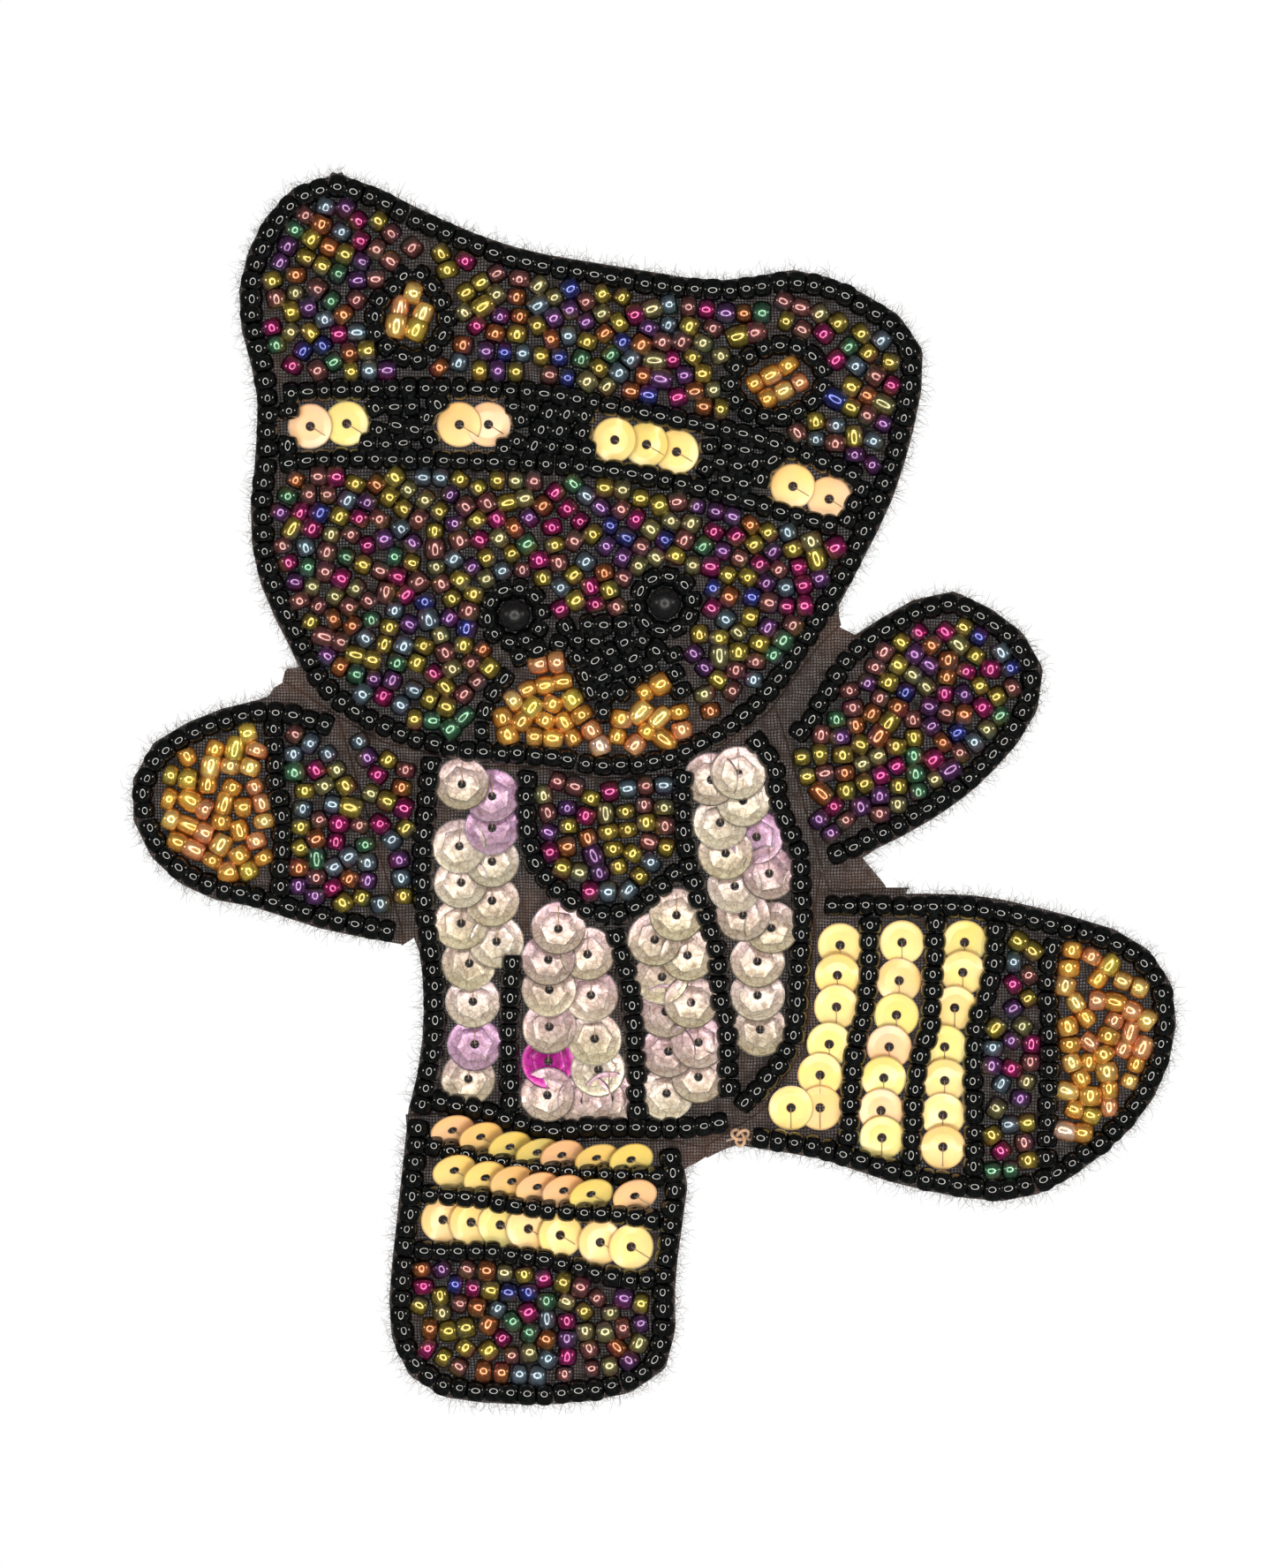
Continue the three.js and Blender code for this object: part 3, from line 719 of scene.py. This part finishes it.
def sequin_shape(template, kind, over, lean):
    """A sequin's corners round its middle, once it is spun, bent a little and leant."""
    aside = np.array([-over[1], over[0]])
    spin = rng.uniform(0, math.tau)
    turn = np.array([[math.cos(spin), -math.sin(spin)], [math.sin(spin), math.cos(spin)]])
    flat = template[:, :2] @ turn.T
    bend = rng.uniform(-0.018, 0.03)
    height = template[:, 2] + bend * (flat @ over) ** 2
    tip = lean + rng.gauss(0, kind["sway"])
    roll = rng.gauss(0, 1.3 * kind["sway"])
    along, across = flat @ over, flat @ aside
    rise = -along * math.sin(tip) + across * math.sin(roll)
    along = along * math.cos(tip) + height * math.sin(tip)
    base = BEAD_BASE + SEQUIN_LIFT + kind["rim"] * abs(math.sin(tip))
    placed = along[:, None] * over + across[:, None] * aside
    return np.column_stack([placed, height * math.cos(tip) + rise + base])


def sequin_cluster(name, kind, spots, over, lean, palettes):
    """One mesh of sequins. Each leans so that its side opposite to `over` lies on the one before."""
    template, faces, bright = sequin_template(kind)
    points, all_faces, tints = [], [], []
    over = np.array(over) / math.hypot(*over)
    for i, (u, v) in enumerate(spots):
        shape = sequin_shape(template, kind, over, lean)
        points.append(shape + [u, v, 0])
        all_faces.append(faces + i * len(template))
        front, rim = pick(palettes[i])
        # Each sequin takes on its second, darker colour towards its top. On the pink strips this is painted
        # shade, mauve like the film, where the sequin above lies over it
        upper = np.clip(0.5 + 0.6 * shape[:, 1] / kind["rim"] + rng.gauss(0, 0.12), 0, 1)
        tint = rng.uniform(0.86, 1.06) * (front + upper[:, None] * (rim - front))
        tints.append(tint * bright[:, None])
    thing = new_mesh(name, np.vstack(points), np.vstack(all_faces), np.vstack(tints))
    mark_creases(thing, len(template))
    return thing


def mark_creases(thing, corners):
    """Makes the rims and holes of sequins with that many corners sharp."""
    last = corners // SEQUIN_SIDES - 1
    for edge in thing.data.edges:
        a, b = (v % corners // SEQUIN_SIDES for v in edge.vertices)
        if a == b and a in (0, RIM_RING, last - RIM_RING, last):
            edge.use_edge_sharp = True


# ---- shaders

class Shader:
    """A material's node tree, with short calls for the nodes used here."""

    def __init__(self, name):
        self.material = bpy.data.materials.new(name)
        self.material.use_nodes = True
        self.tree = self.material.node_tree
        self.tree.nodes.clear()
        self.principled = self.node("ShaderNodeBsdfPrincipled")
        output = self.node("ShaderNodeOutputMaterial")
        self.join(self.principled.outputs[0], output.inputs["Surface"])

    def node(self, kind, **settings):
        made = self.tree.nodes.new(kind)
        for key, value in settings.items():
            setattr(made, key, value)
        return made

    def join(self, source, target):
        self.tree.links.new(source, target)

    def feed(self, socket, value):
        if hasattr(value, "links"):
            self.join(value, socket)
        else:
            socket.default_value = value

    def set(self, **values):
        """Sets or links the principled shader's sockets, named with _ for a space."""
        for key, value in values.items():
            self.feed(self.principled.inputs[key.replace("_", " ")], value)

    def math(self, operation, a, b=0.0, c=0.0):
        made = self.node("ShaderNodeMath", operation=operation)
        for socket, value in zip(made.inputs, (a, b, c)):
            self.feed(socket, value)
        return made.outputs[0]

    def mix(self, amount, a, b, blend="MIX"):
        made = self.node("ShaderNodeMix", data_type="RGBA", blend_type=blend)
        self.feed(made.inputs[0], amount)
        self.feed(made.inputs[6], a)
        self.feed(made.inputs[7], b)
        return made.outputs[2]

    def span(self, value, low, high, to_low=0.0, to_high=1.0):
        made = self.node("ShaderNodeMapRange")
        for socket, number in zip(made.inputs, (value, low, high, to_low, to_high)):
            self.feed(socket, number)
        return made.outputs[0]

    def noise(self, scale, detail=2.0, where=None):
        made = self.node("ShaderNodeTexNoise")
        made.inputs["Scale"].default_value = scale
        made.inputs["Detail"].default_value = detail
        self.join(where or self.place(), made.inputs["Vector"])
        return made.outputs["Fac"]

    def place(self):
        """Where a point is on the object, in metres."""
        return self.node("ShaderNodeTexCoord").outputs["Object"]

    def tint(self):
        return self.node("ShaderNodeAttribute", attribute_name="tint").outputs["Color"]

    def bump(self, height, distance, strength=1.0):
        made = self.node("ShaderNodeBump")
        made.inputs["Distance"].default_value = distance
        made.inputs["Strength"].default_value = strength
        self.join(height, made.inputs["Height"])
        self.join(made.outputs[0], self.principled.inputs["Normal"])


def jet_glass():
    """Opaque black glass: dips and specks too small to see one by one blur its edges."""
    s = Shader("jet_glass")
    mottle = s.noise(2600)
    s.set(Base_Color=s.mix(s.span(mottle, 0.4, 0.7), s.tint(), (0.005, 0.006, 0.006, 1)))
    s.set(Roughness=s.span(s.noise(900), 0.3, 0.7, 0.015, 0.045), Specular_IOR_Level=0.8)
    s.bump(s.noise(1400), 0.00003, 0.08)
    return s.material


def iris_glass():
    """Glass under a metal film whose colour drifts over each bead."""
    s = Shader("iris_glass")
    drift = s.mix(s.span(s.noise(620), 0.35, 0.65, 0, 0.45), s.tint(), (0.55, 0.4, 0.4, 1), "OVERLAY")
    fleck = s.mix(s.span(s.noise(4200, 3), 0.5, 0.75, 0, 0.5), drift, (0.05, 0.03, 0.03, 1), "MULTIPLY")
    s.set(Base_Color=fleck, Metallic=0.8, Roughness=s.span(s.noise(1500), 0.3, 0.7, 0.17, 0.28))
    s.set(Coat_Weight=1.0, Coat_Roughness=0.03)
    s.bump(s.noise(1700), 0.00004, 0.12)
    return s.material


def amber_glass():
    """Clear amber glass. The soft inner glow of a silver lining is painted light: the tint is lighter where
    the bead faces out, and darker at its sides as painted shade.
    """
    s = Shader("amber_glass")
    cloud = s.mix(s.span(s.noise(900), 0.35, 0.65, 0, 0.5), s.tint(), (0.95, 0.72, 0.4, 1), "OVERLAY")
    s.set(Base_Color=cloud, Metallic=0.6, Roughness=s.span(s.noise(1800), 0.3, 0.7, 0.14, 0.28))
    s.set(Transmission_Weight=0.15, IOR=1.5, Coat_Weight=1.0, Coat_Roughness=0.03)
    s.bump(s.noise(1500), 0.00004, 0.3)
    return s.material


def gold_film():
    """Pearly gold plastic film, with faint clouds and pressed dents."""
    s = Shader("gold_film")
    cloud = s.span(s.noise(420, 3), 0.3, 0.7)
    colour = s.mix(cloud, s.tint(), (0.87, 0.6, 0.36, 1), "SOFT_LIGHT")
    s.set(Base_Color=s.mix(s.span(s.noise(3600, 4), 0.55, 0.8, 0, 0.35), colour, (0.6, 0.42, 0.2, 1)))
    s.set(Metallic=0.12, Roughness=s.span(s.noise(700), 0.3, 0.7, 0.28, 0.45))
    s.set(Coat_Weight=0.5, Coat_Roughness=0.1)
    s.bump(s.noise(520, 2), 0.00012, 0.35)
    return s.material


def pearl_film():
    """Faceted mauve film with a marbled, crackled lustre."""
    s = Shader("pearl_film")
    crackle = s.node("ShaderNodeTexVoronoi", feature="DISTANCE_TO_EDGE")
    crackle.inputs["Scale"].default_value = 1350
    s.join(s.place(), crackle.inputs["Vector"])
    lines = s.span(crackle.outputs["Distance"], 0.0, 0.09, 1, 0)
    marble = s.span(s.noise(1500, 5), 0.42, 0.62)
    colour = s.mix(s.math("MULTIPLY", marble, 0.6), s.tint(), (0.72, 0.62, 0.52, 1), "MULTIPLY")
    colour = s.mix(s.math("MULTIPLY", lines, 0.6), colour, (0.26, 0.17, 0.17, 1), "MULTIPLY")
    s.set(Base_Color=colour, Metallic=0.35, Roughness=s.span(s.noise(900), 0.3, 0.7, 0.2, 0.36))
    s.set(Coat_Weight=0.35, Coat_Roughness=0.12)
    s.bump(s.math("MULTIPLY", crackle.outputs["Distance"], 0.5), 0.00008, 0.5)
    return s.material


def matt_glass():
    """Matt black glass of the eye beads."""
    s = Shader("matt_glass")
    s.set(Base_Color=s.mix(s.noise(3000), (0.002, 0.002, 0.003, 1), (0.008, 0.008, 0.009, 1)))
    s.set(Roughness=s.span(s.noise(2200), 0.3, 0.7, 0.26, 0.36))
    s.bump(s.noise(6000), 0.00002, 0.3)
    return s.material


def organza_weave():
    """Plain weave: two sets of dark threads with light between, and puckers that shade it."""
    s = Shader("organza_weave")
    layer = s.node("ShaderNodeUVMap", uv_map="weave")
    split = s.node("ShaderNodeSeparateXYZ")
    s.join(layer.outputs[0], split.inputs[0])
    waver = s.noise(0.55, 2, layer.outputs[0])
    bars = []
    for axis, other in ((0, 1), (1, 0)):
        wander = s.math("MULTIPLY", s.math("SUBTRACT", waver, 0.5), 0.5)
        across = s.math("ADD", split.outputs[axis], wander)
        wave = s.math("COSINE", s.math("MULTIPLY", across, 2 * math.pi / WEAVE_PITCH))
        bars.append(s.span(wave, -0.25, 0.25))
        bars.append(s.math("SINE", s.math("MULTIPLY", split.outputs[other], math.pi / WEAVE_PITCH)))
    cover = s.math("MAXIMUM", bars[0], bars[2])
    thick = s.span(s.noise(0.9, 3, layer.outputs[0]), 0.3, 0.7, 0.84, 0.99)
    alpha = s.math("MAXIMUM", s.math("MULTIPLY", cover, 0.99), thick)
    tone = s.span(s.noise(0.12, 2, layer.outputs[0]), 0.35, 0.65)
    dark = s.mix(tone, (0.035, 0.02, 0.014, 1), (0.09, 0.045, 0.03, 1))
    s.set(Base_Color=s.mix(s.math("MULTIPLY", cover, 0.7), dark, (0.016, 0.010, 0.008, 1)))
    s.set(Alpha=alpha, Roughness=0.8, Specular_IOR_Level=0.15, Sheen_Weight=0.02, Sheen_Roughness=0.4)
    s.bump(s.math("ADD", s.math("MULTIPLY", bars[0], bars[1]), s.math("MULTIPLY", bars[2], bars[3])),
           0.00006, 0.6)
    return s.material


def sewing_thread():
    """Twisted thread in its own colour, with lighter strands."""
    s = Shader("sewing_thread")
    strand = s.noise(9000, 3)
    s.set(Base_Color=s.mix(s.span(strand, 0.4, 0.7, 0, 0.4), s.tint(), (0.3, 0.27, 0.25, 1)))
    s.set(Roughness=s.span(strand, 0.3, 0.7, 0.55, 0.85), Sheen_Weight=0.3)
    s.bump(strand, 0.00003, 0.6)
    return s.material


def pale_floor():
    """Pale and plain, with a painted glow that grows towards its edge, so that it fades into the white
    background.
    """
    s = Shader("pale_floor")
    from_middle = s.node("ShaderNodeVectorMath", operation="LENGTH")
    s.join(s.place(), from_middle.inputs[0])
    # Painted glow: the floor shines more the further out it is
    painted_glow = s.span(from_middle.outputs["Value"], 0.5, 0.95 * FLOOR_RADIUS, 0.45, 0.95)
    s.set(Base_Color=s.mix(s.noise(6), (0.93, 0.93, 0.93, 1), (0.95, 0.95, 0.95, 1)), Roughness=0.8)
    s.set(Emission_Color=(1, 1, 1, 1), Emission_Strength=painted_glow)
    return s.material


looks = {
    "black_beads": jet_glass(),
    "iris_beads": iris_glass(),
    "gold_beads": amber_glass(),
    "gold_sequins": gold_film(),
    "pink_sequins": pearl_film(),
    "eye_beads": matt_glass(),
    "organza": organza_weave(),
    "thread": sewing_thread(),
}


def finish_piece(piece, node, look=None):
    """The piece stands for a CAD node: it takes its slot, moves with its body and hides it."""
    piece.data.materials.append(look or looks[node_slot[node]])
    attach(piece, node_body[node])
    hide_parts(node)


# ---- the bear

CLOSED_ROWS = ("head_outline_row", "left_ear_row", "right_ear_row")
backs = {body: Threads() for body in frame["bodies"]}  # threads on the back, by body
THREAD_BLACK = linear(24, 22, 22)
THREAD_SHEER = linear(150, 120, 84)
THREAD_FRAYED = linear(84, 76, 72)


def back_stitches(body, points, reach=0.22):
    """A thread on the back that passes under the points, in and out of the cloth."""
    line = []
    for i, (u, v) in enumerate(points):
        sway = rng.uniform(-reach, reach)
        line.append((u + sway, v - sway, 0.1 + 0.05 * (i % 2)))
    if len(line) > 1:
        backs[body].add(line, THREAD_RADIUS * rng.uniform(0.8, 1.2), THREAD_BLACK)


for node in [n for n in node_slot if n.rstrip("_1234").endswith("_row")]:
    closed = node in CLOSED_ROWS
    spots, turns = spaced(rounded(ridge(node), closed), ROW_PITCH, closed, ROW_BEYOND)
    spots = spots + np.array([[rng.gauss(0, 0.06), rng.gauss(0, 0.06)] for _ in spots])
    row = bead_cluster(f"{node}_beads", [(*p, t) for p, t in zip(spots, turns)], JET, **ROW_SIZES)
    finish_piece(row, node)
    for start in range(0, len(spots) - 1, 3):
        back_stitches(node_body[node], spots[start: start + 4])
        back_stitches(node_body[node], spots[start: start + 3])


def eye_ring(eye):
    """Beads round an eye, each with its hole along the ring."""
    u, v = middle_of(eye)
    turn = rng.uniform(0, math.tau)
    ring = []
    for k in range(EYE_RING_BEADS):
        a = turn + math.tau * k / EYE_RING_BEADS
        ring.append((u + EYE_RING_RADIUS * math.cos(a), v + EYE_RING_RADIUS * math.sin(a), a + math.pi / 2))
    return ring


eye_rings = eye_ring("left_eye") + eye_ring("right_eye")
palettes = {"iris_beads": IRIS, "gold_beads": AMBER, "black_beads": JET}
for node in [n for n in node_slot if n.endswith("_fill") or n in ("forehead_band", "nose_and_eye_rows")]:
    solid_black = node_slot[node] == "black_beads"
    taken = eye_rings if node == "nose_and_eye_rows" else ()
    beads, chains = fill(node, taken, edge_row=solid_black, longest=4 if solid_black else 5)
    sizes = AMBER_SIZES if node_slot[node] == "gold_beads" else FIELD_SIZES
    finish_piece(bead_cluster(f"{node}_beads", beads, palettes[node_slot[node]], **sizes), node)
    for chain in chains:
        back_stitches(node_body[node], chain)

for eye in ("left_eye", "right_eye"):
    template, faces = lathe(ball_profile(EYE_RADIUS, EYE_HOLE), 32)
    points = turned(template, rng.uniform(0, math.pi), 0.1)
    points += [*middle_of(eye), BEAD_BASE + EYE_RADIUS]
    finish_piece(new_mesh(f"{eye}_bead", points, faces), eye)


# Strips of sequins: which way the covering sequin lies from the covered one, and how much they lean
OVER = {
    "sequin_strip": ((0, 1), 0.17),
    "band_sequins": ((-1, 0), 0.1),
    "left_leg_sequins_1": ((0.35, -1), 0.8),
    "left_leg_sequins_2": ((0.35, -1), 0.74),
    "left_leg_sequins_3": ((1, -0.3), 0.14),
    "right_leg_sequins": ((0, -1), 0.12),
}
stitches = {body: Threads() for body in ("head", "torso", "left_leg", "right_leg")}
LEG_STITCH = (0.8, -0.5)  # the left leg's stitches run across its rows, and the others along theirs


def sequin_stitch(spot, kind, over, way, lean):
    """A thread up through a sequin's hole, over its face one way and down past its rim."""
    middle, way, over = np.array(spot), np.array(way) / math.hypot(*way), np.array(over) / math.hypot(*over)
    high = BEAD_BASE + 0.3 + kind["rim"] * math.sin(lean)
    out = kind["rim"] * rng.uniform(0.75, 1.0)
    tilt = -math.sin(lean) * (way @ over)
    line = [(*middle, high - 0.3), (*(middle + 0.15 * way), high + 0.1)]
    for f in (0.4, 0.7, 1.0):
        line.append((*(middle + f * out * way), high + 0.08 + f * out * tilt + kind["cup"] * f))
    line.append((*(middle + 1.08 * out * way), BEAD_BASE))
    return line


for node in [n for n in node_slot if node_slot[n] in ("gold_sequins", "pink_sequins")]:
    kind, tints = (GOLD, GOLD_TINTS) if node_slot[node] == "gold_sequins" else (PINK, PINK_TINTS)
    over, lean = next(OVER[k] for k in OVER if node.startswith(k))
    spots = peaks(node, GOLD_PEAK if kind is GOLD else PINK_PEAK)
    spots = spots[np.argsort(-spots @ np.array([0.2, 1]))]
    palettes = [MAGENTA_TINT if (node, i) == MAGENTA_SEQUIN else tints for i in range(len(spots))]
    finish_piece(sequin_cluster(f"{node}_discs", kind, spots, over, lean, palettes), node)
    back_stitches(node_body[node], spots)
    way = over if kind is PINK or "right" in node else LEG_STITCH
    for spot in spots:
        stitches[node_body[node]].add(sequin_stitch(spot, kind, over, way, lean), STITCH_RADIUS, THREAD_SHEER)


# Organza panels: the torso's moves with its body, and each limb's stays where it is made
cloth_loops = {n: max(top_of(n)[1], key=len) for n in node_slot if n.endswith("_cloth")}


def mitre(normal_in, normal_out, shift_in, shift_out):
    """How to move a corner so that the sides before and after it move out by their own shifts."""
    turn = normal_in[0] * normal_out[1] - normal_in[1] * normal_out[0]
    if abs(turn) < NEARLY_STRAIGHT:
        middle = normal_in + normal_out
        return (shift_in + shift_out) / 2 * middle / max(math.hypot(*middle), 0.5)
    move = np.array([shift_in * normal_out[1] - shift_out * normal_in[1],
                     shift_out * normal_in[0] - shift_in * normal_out[0]]) / turn
    return move * min(1, MITRE_LIMIT / max(math.hypot(*move), 1e-9))


def without_loops(line):
    """A closed line without the tiny loops that moving its corners can make."""
    for gap in (2, 3, 4):
        for _ in range(len(line)):
            crossing = intersect_line_line_2d(line[0], line[1], line[gap], line[gap + 1])
            if crossing:
                line = np.vstack([line[:1], crossing, line[gap + 1:]])
            line = np.roll(line, -1, axis=0)
    return line


def cloth_outline(node):
    """The panel's edge, moved out to the middle of the folds, and in where it has come undone."""
    loop = spaced(cloth_loops[node], 1.0, True)[0]
    others = np.vstack([spaced(o, 0.5, True)[0] for n, o in cloth_loops.items() if n != node])
    at_fold = np.array([np.hypot(*(others - p).T).min() < NEAR_FOLD for p in loop])
    sides = np.roll(loop, -1, axis=0) - loop
    sides /= np.maximum(np.hypot(*sides.T), 1e-9)[:, None]
    normals = np.column_stack([sides[:, 1], -sides[:, 0]])
    shifts = np.where(at_fold & np.roll(at_fold, -1), CREASE_HALF, -UNRAVELLED)
    moves = [mitre(normals[k - 1], normals[k], shifts[k - 1], shifts[k]) for k in range(len(loop))]
    return without_loops(loop + np.array(moves))


def pucker(u, v):
    """How far the tight stitches pull the cloth out of its plane."""
    return 0.05 * math.sin(1.9 * u + 0.8 * math.sin(0.7 * v)) + 0.04 * math.sin(1.6 * v + math.cos(0.9 * u))


def cloth_mesh(name, outline):
    """A sheet cut to the outline, with corners all over it so that it can pucker."""
    low, high = outline.min(0), outline.max(0)
    lines = [np.arange(low[k], high[k], CLOTH_STEP) for k in (0, 1)]
    grid = np.stack(np.meshgrid(*lines), -1).reshape(-1, 2)
    grid = grid[from_edge(grid, [outline])[0] > 0.4 * CLOTH_STEP]
    corners = [Vector(p) for p in np.vstack([outline, grid])]
    edge = list(range(len(outline)))
    flat, _, faces, *_ = delaunay_2d_cdt(corners, [], [edge], WITHIN_OUTLINE, 1e-4)
    used = sorted({i for f in faces for i in f})
    place = {i: k for k, i in enumerate(used)}
    points = [(*flat[i], CLOTH_HEIGHT + pucker(*flat[i])) for i in used]
    faces = [[place[i] for i in f] for f in faces]
    thing = new_mesh(name, points, faces)
    layer = thing.data.uv_layers.new(name="weave")
    for loop in thing.data.loops:
        u, v, _ = points[loop.vertex_index]
        layer.data[loop.index].uv = (u, v)
    return thing


FOLDED_BY = {j["child"]: j for j in frame["joints"]}
fray = {body: Threads() for body in frame["bodies"]}
outlines = {n: cloth_outline(n) for n in cloth_loops}


def across_fold(body):
    """Two points on either side of the body's fold, from the torso's side to its own."""
    joint = FOLDED_BY[body]
    axis, pos = np.array(joint["axis"], float), np.array(joint["pos_m"], float)
    low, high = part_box(f"{body}_cloth")
    way = np.cross(axis, [0.0, 1.0, 0.0])
    way /= np.linalg.norm(way)
    if way @ ((np.array(low) + np.array(high)) / 2 - pos) < 0:
        way = -way
    return pos - FOLD_HALF * MM * way, pos + FOLD_HALF * MM * way


def loose_end(start, out):
    """A thread of the weave that curls away from the cut edge: its points and radii."""
    weave = rng.choice([np.array([1.0, 0.0]), np.array([0.0, 1.0])])
    weave = weave * math.copysign(1, weave @ out)
    way = (0.55 * out + 0.45 * weave) if rng.random() < 0.6 else out
    heading = math.atan2(way[1], way[0]) + rng.gauss(0, 0.45)
    reach = rng.uniform(*FRAY_LENGTH) * rng.choice([0.5, 0.8, 1.0, 1.0, 1.25])
    curl = rng.gauss(0, 0.8)
    lift = rng.uniform(-0.15, 0.5)
    points = []
    for f in (-0.4, 0.0, 0.35, 0.7, 1.0):
        turn = heading + curl * max(f, 0)
        points.append((start[0] + f * reach * math.cos(turn), start[1] + f * reach * math.sin(turn),
                       CLOTH_HEIGHT + lift * max(f, 0) ** 2 * reach))
    return points, np.array([1, 1, 0.9, 0.7, 0.3]) * rng.uniform(*FRAY_RADIUS)


def add_fray(body, outline, others):
    """Loose ends of the weave along the cut edge, but not where another panel goes on."""
    for a, b in zip(outline, np.roll(outline, -1, axis=0)):
        step = b - a
        length = math.hypot(*step)
        for _ in range(int(length * FRAY_PER_MM + rng.random())):
            start = a + rng.random() * step
            if min(np.hypot(*(other - start).T).min() for other in others) < NO_FRAY:
                continue
            points, radii = loose_end(start, np.array([step[1], -step[0]]) / length)
            fray[body].add(points, radii, rng.uniform(0.4, 1.8) * THREAD_FRAYED, sides=3)


for node, outline in outlines.items():
    body = node_body[node]
    panel = cloth_mesh(f"{node}_panel", outline)
    panel.data.materials.append(looks["organza"])
    if body == "torso":
        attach(panel, body)
    else:
        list(across_fold(body))
        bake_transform(panel)
    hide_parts(node)
    others = [spaced(o, 1.0, True)[0] for n, o in outlines.items() if n != node]
    add_fray(body, outline, others)


def knot_of_thread():
    """A few loose turns of thread pulled into a knot, with two short tails."""
    middle = np.array([*middle_of("thread_knot"), 1.5])
    loops = Threads()
    turns = np.linspace(0, math.tau, 60)
    knot = [middle + 0.34 * np.array([math.sin(t) + 2 * math.sin(2 * t), math.cos(t) - 2 * math.cos(2 * t),
                                      -1.2 * math.sin(3 * t)]) for t in turns]
    loops.add(knot, 0.17, linear(190, 148, 110), 8)
    for side in (-1, 1):
        tail = [middle + [side * f, -0.35 * f, -0.5 * f * f] for f in (0.3, 0.9, 1.5)]
        loops.add(tail, 0.12, linear(176, 134, 98), 6)
    return loops.mesh("thread_knot_turns")


finish_piece(knot_of_thread(), "thread_knot", looks["thread"])

for kind, threads in (("back_threads", backs), ("fray", fray), ("sequin_stitches", stitches)):
    for body, gathered in threads.items():
        if gathered.points:
            piece = gathered.mesh(f"{body}_{kind}")
            piece.data.materials.append(looks["thread"])
            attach(piece, body)


# ---- camera and light

VIEW_MIDDLE = (0.00316, 0.02044)  # what the middle of the photograph shows, across and up
VIEW_HEIGHT = 0.1724
CAMERA_DISTANCE = 0.6
BEAD_TOPS = 0.0015
SENSOR = 36.0
WARM_WHITE = (1.0, 0.965, 0.89)
DIM_LIGHT = 0.048  # what the surroundings give the bear, against 1 for what the camera sees
FLOOR_RADIUS = 1.5
FLOOR_HEIGHT = -0.35


def add_camera():
    """A camera straight in front, which shows as much at the bead tops as the photograph does."""
    data = bpy.data.cameras.new("camera")
    data.sensor_width = SENSOR
    data.lens = SENSOR * CAMERA_DISTANCE / VIEW_HEIGHT
    data.clip_start = 0.01
    camera = linked("camera", data)
    camera.location = (VIEW_MIDDLE[0], -CAMERA_DISTANCE - BEAD_TOPS, VIEW_MIDDLE[1])
    camera.rotation_euler = (math.pi / 2, 0, 0)
    bpy.context.scene.camera = camera


def add_area_light(name, location, size, watts, mirrored=False):
    """A square light that faces the middle of the bear; only a mirrored one shows in the beads."""
    data = bpy.data.lights.new(name, "AREA")
    data.size = size
    data.energy = watts
    data.color = WARM_WHITE
    light = linked(name, data)
    light.location = location
    light.visible_camera = False
    light.visible_glossy = mirrored
    light.rotation_euler = (-Vector(location)).to_track_quat("-Z", "Y").to_euler()


def add_ring_light(distance, inner, outer, brightness):
    """A ring of light round the camera, which each bead mirrors as a small bright ring."""
    sides = 48
    points, faces = [], []
    for k in range(sides):
        a = math.tau * k / sides
        points += [(r * math.cos(a) / MM, r * math.sin(a) / MM, distance / MM) for r in (inner, outer)]
        n = (k + 1) % sides
        faces.append((2 * k, 2 * n, 2 * n + 1, 2 * k + 1))
    ring = new_mesh("ring_light", points, faces)
    s = Shader("ring_glow")
    s.set(Base_Color=(0, 0, 0, 1), Specular_IOR_Level=0.0)
    s.set(Emission_Color=(*WARM_WHITE, 1), Emission_Strength=brightness)
    ring.data.materials.append(s.material)
    ring.visible_camera = False
    ring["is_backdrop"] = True


def add_surroundings():
    """A white background, which lights the bear only dimly."""
    world = bpy.data.worlds.new("surroundings")
    bpy.context.scene.world = world
    world.use_nodes = True
    tree = world.node_tree
    tree.nodes.clear()
    kinds = ("LightPath", "MixShader", "OutputWorld")
    path, mix, out = (tree.nodes.new(f"ShaderNode{kind}") for kind in kinds)
    tree.links.new(path.outputs["Is Camera Ray"], mix.inputs[0])
    for slot, strength in ((1, DIM_LIGHT), (2, 1.0)):
        light = tree.nodes.new("ShaderNodeBackground")
        light.inputs["Color"].default_value = (1, 1, 1, 1)
        light.inputs["Strength"].default_value = strength
        tree.links.new(light.outputs[0], mix.inputs[slot])
    tree.links.new(mix.outputs[0], out.inputs["Surface"])


def add_floor():
    """A round pale floor, far enough below to stay out of the straight-on view."""
    angles = [math.tau * k / 64 for k in range(64)]
    reach = FLOOR_RADIUS / MM
    points = [(reach * math.cos(a), FLOOR_HEIGHT / MM, reach * math.sin(a)) for a in angles]
    floor = new_mesh("floor", points, [list(range(64))])
    floor.data.materials.append(pale_floor())
    floor.visible_glossy = False
    floor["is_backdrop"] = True


add_camera()
add_surroundings()
add_floor()
add_ring_light(0.45, 0.19, 0.24, 12)
add_area_light("left_softbox", (-0.55, -0.3, 0.1), 0.1, 0.3, mirrored=True)
add_area_light("right_softbox", (0.55, -0.3, 0.1), 0.1, 0.3, mirrored=True)
add_area_light("top_softbox", (0.0, -0.45, 0.6), 0.4, 1.0)
add_area_light("low_softbox", (0.1, -0.45, -0.3), 0.3, 1.6)
add_area_light("back_softbox", (-0.3, 0.6, 0.35), 0.5, 9)
add_area_light("floor_light", (0.0, 0.0, 1.4), 1.2, 5)
bpy.context.scene.view_settings.view_transform = "Standard"

sizes = {"cad": cad_box, "visual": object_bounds()}
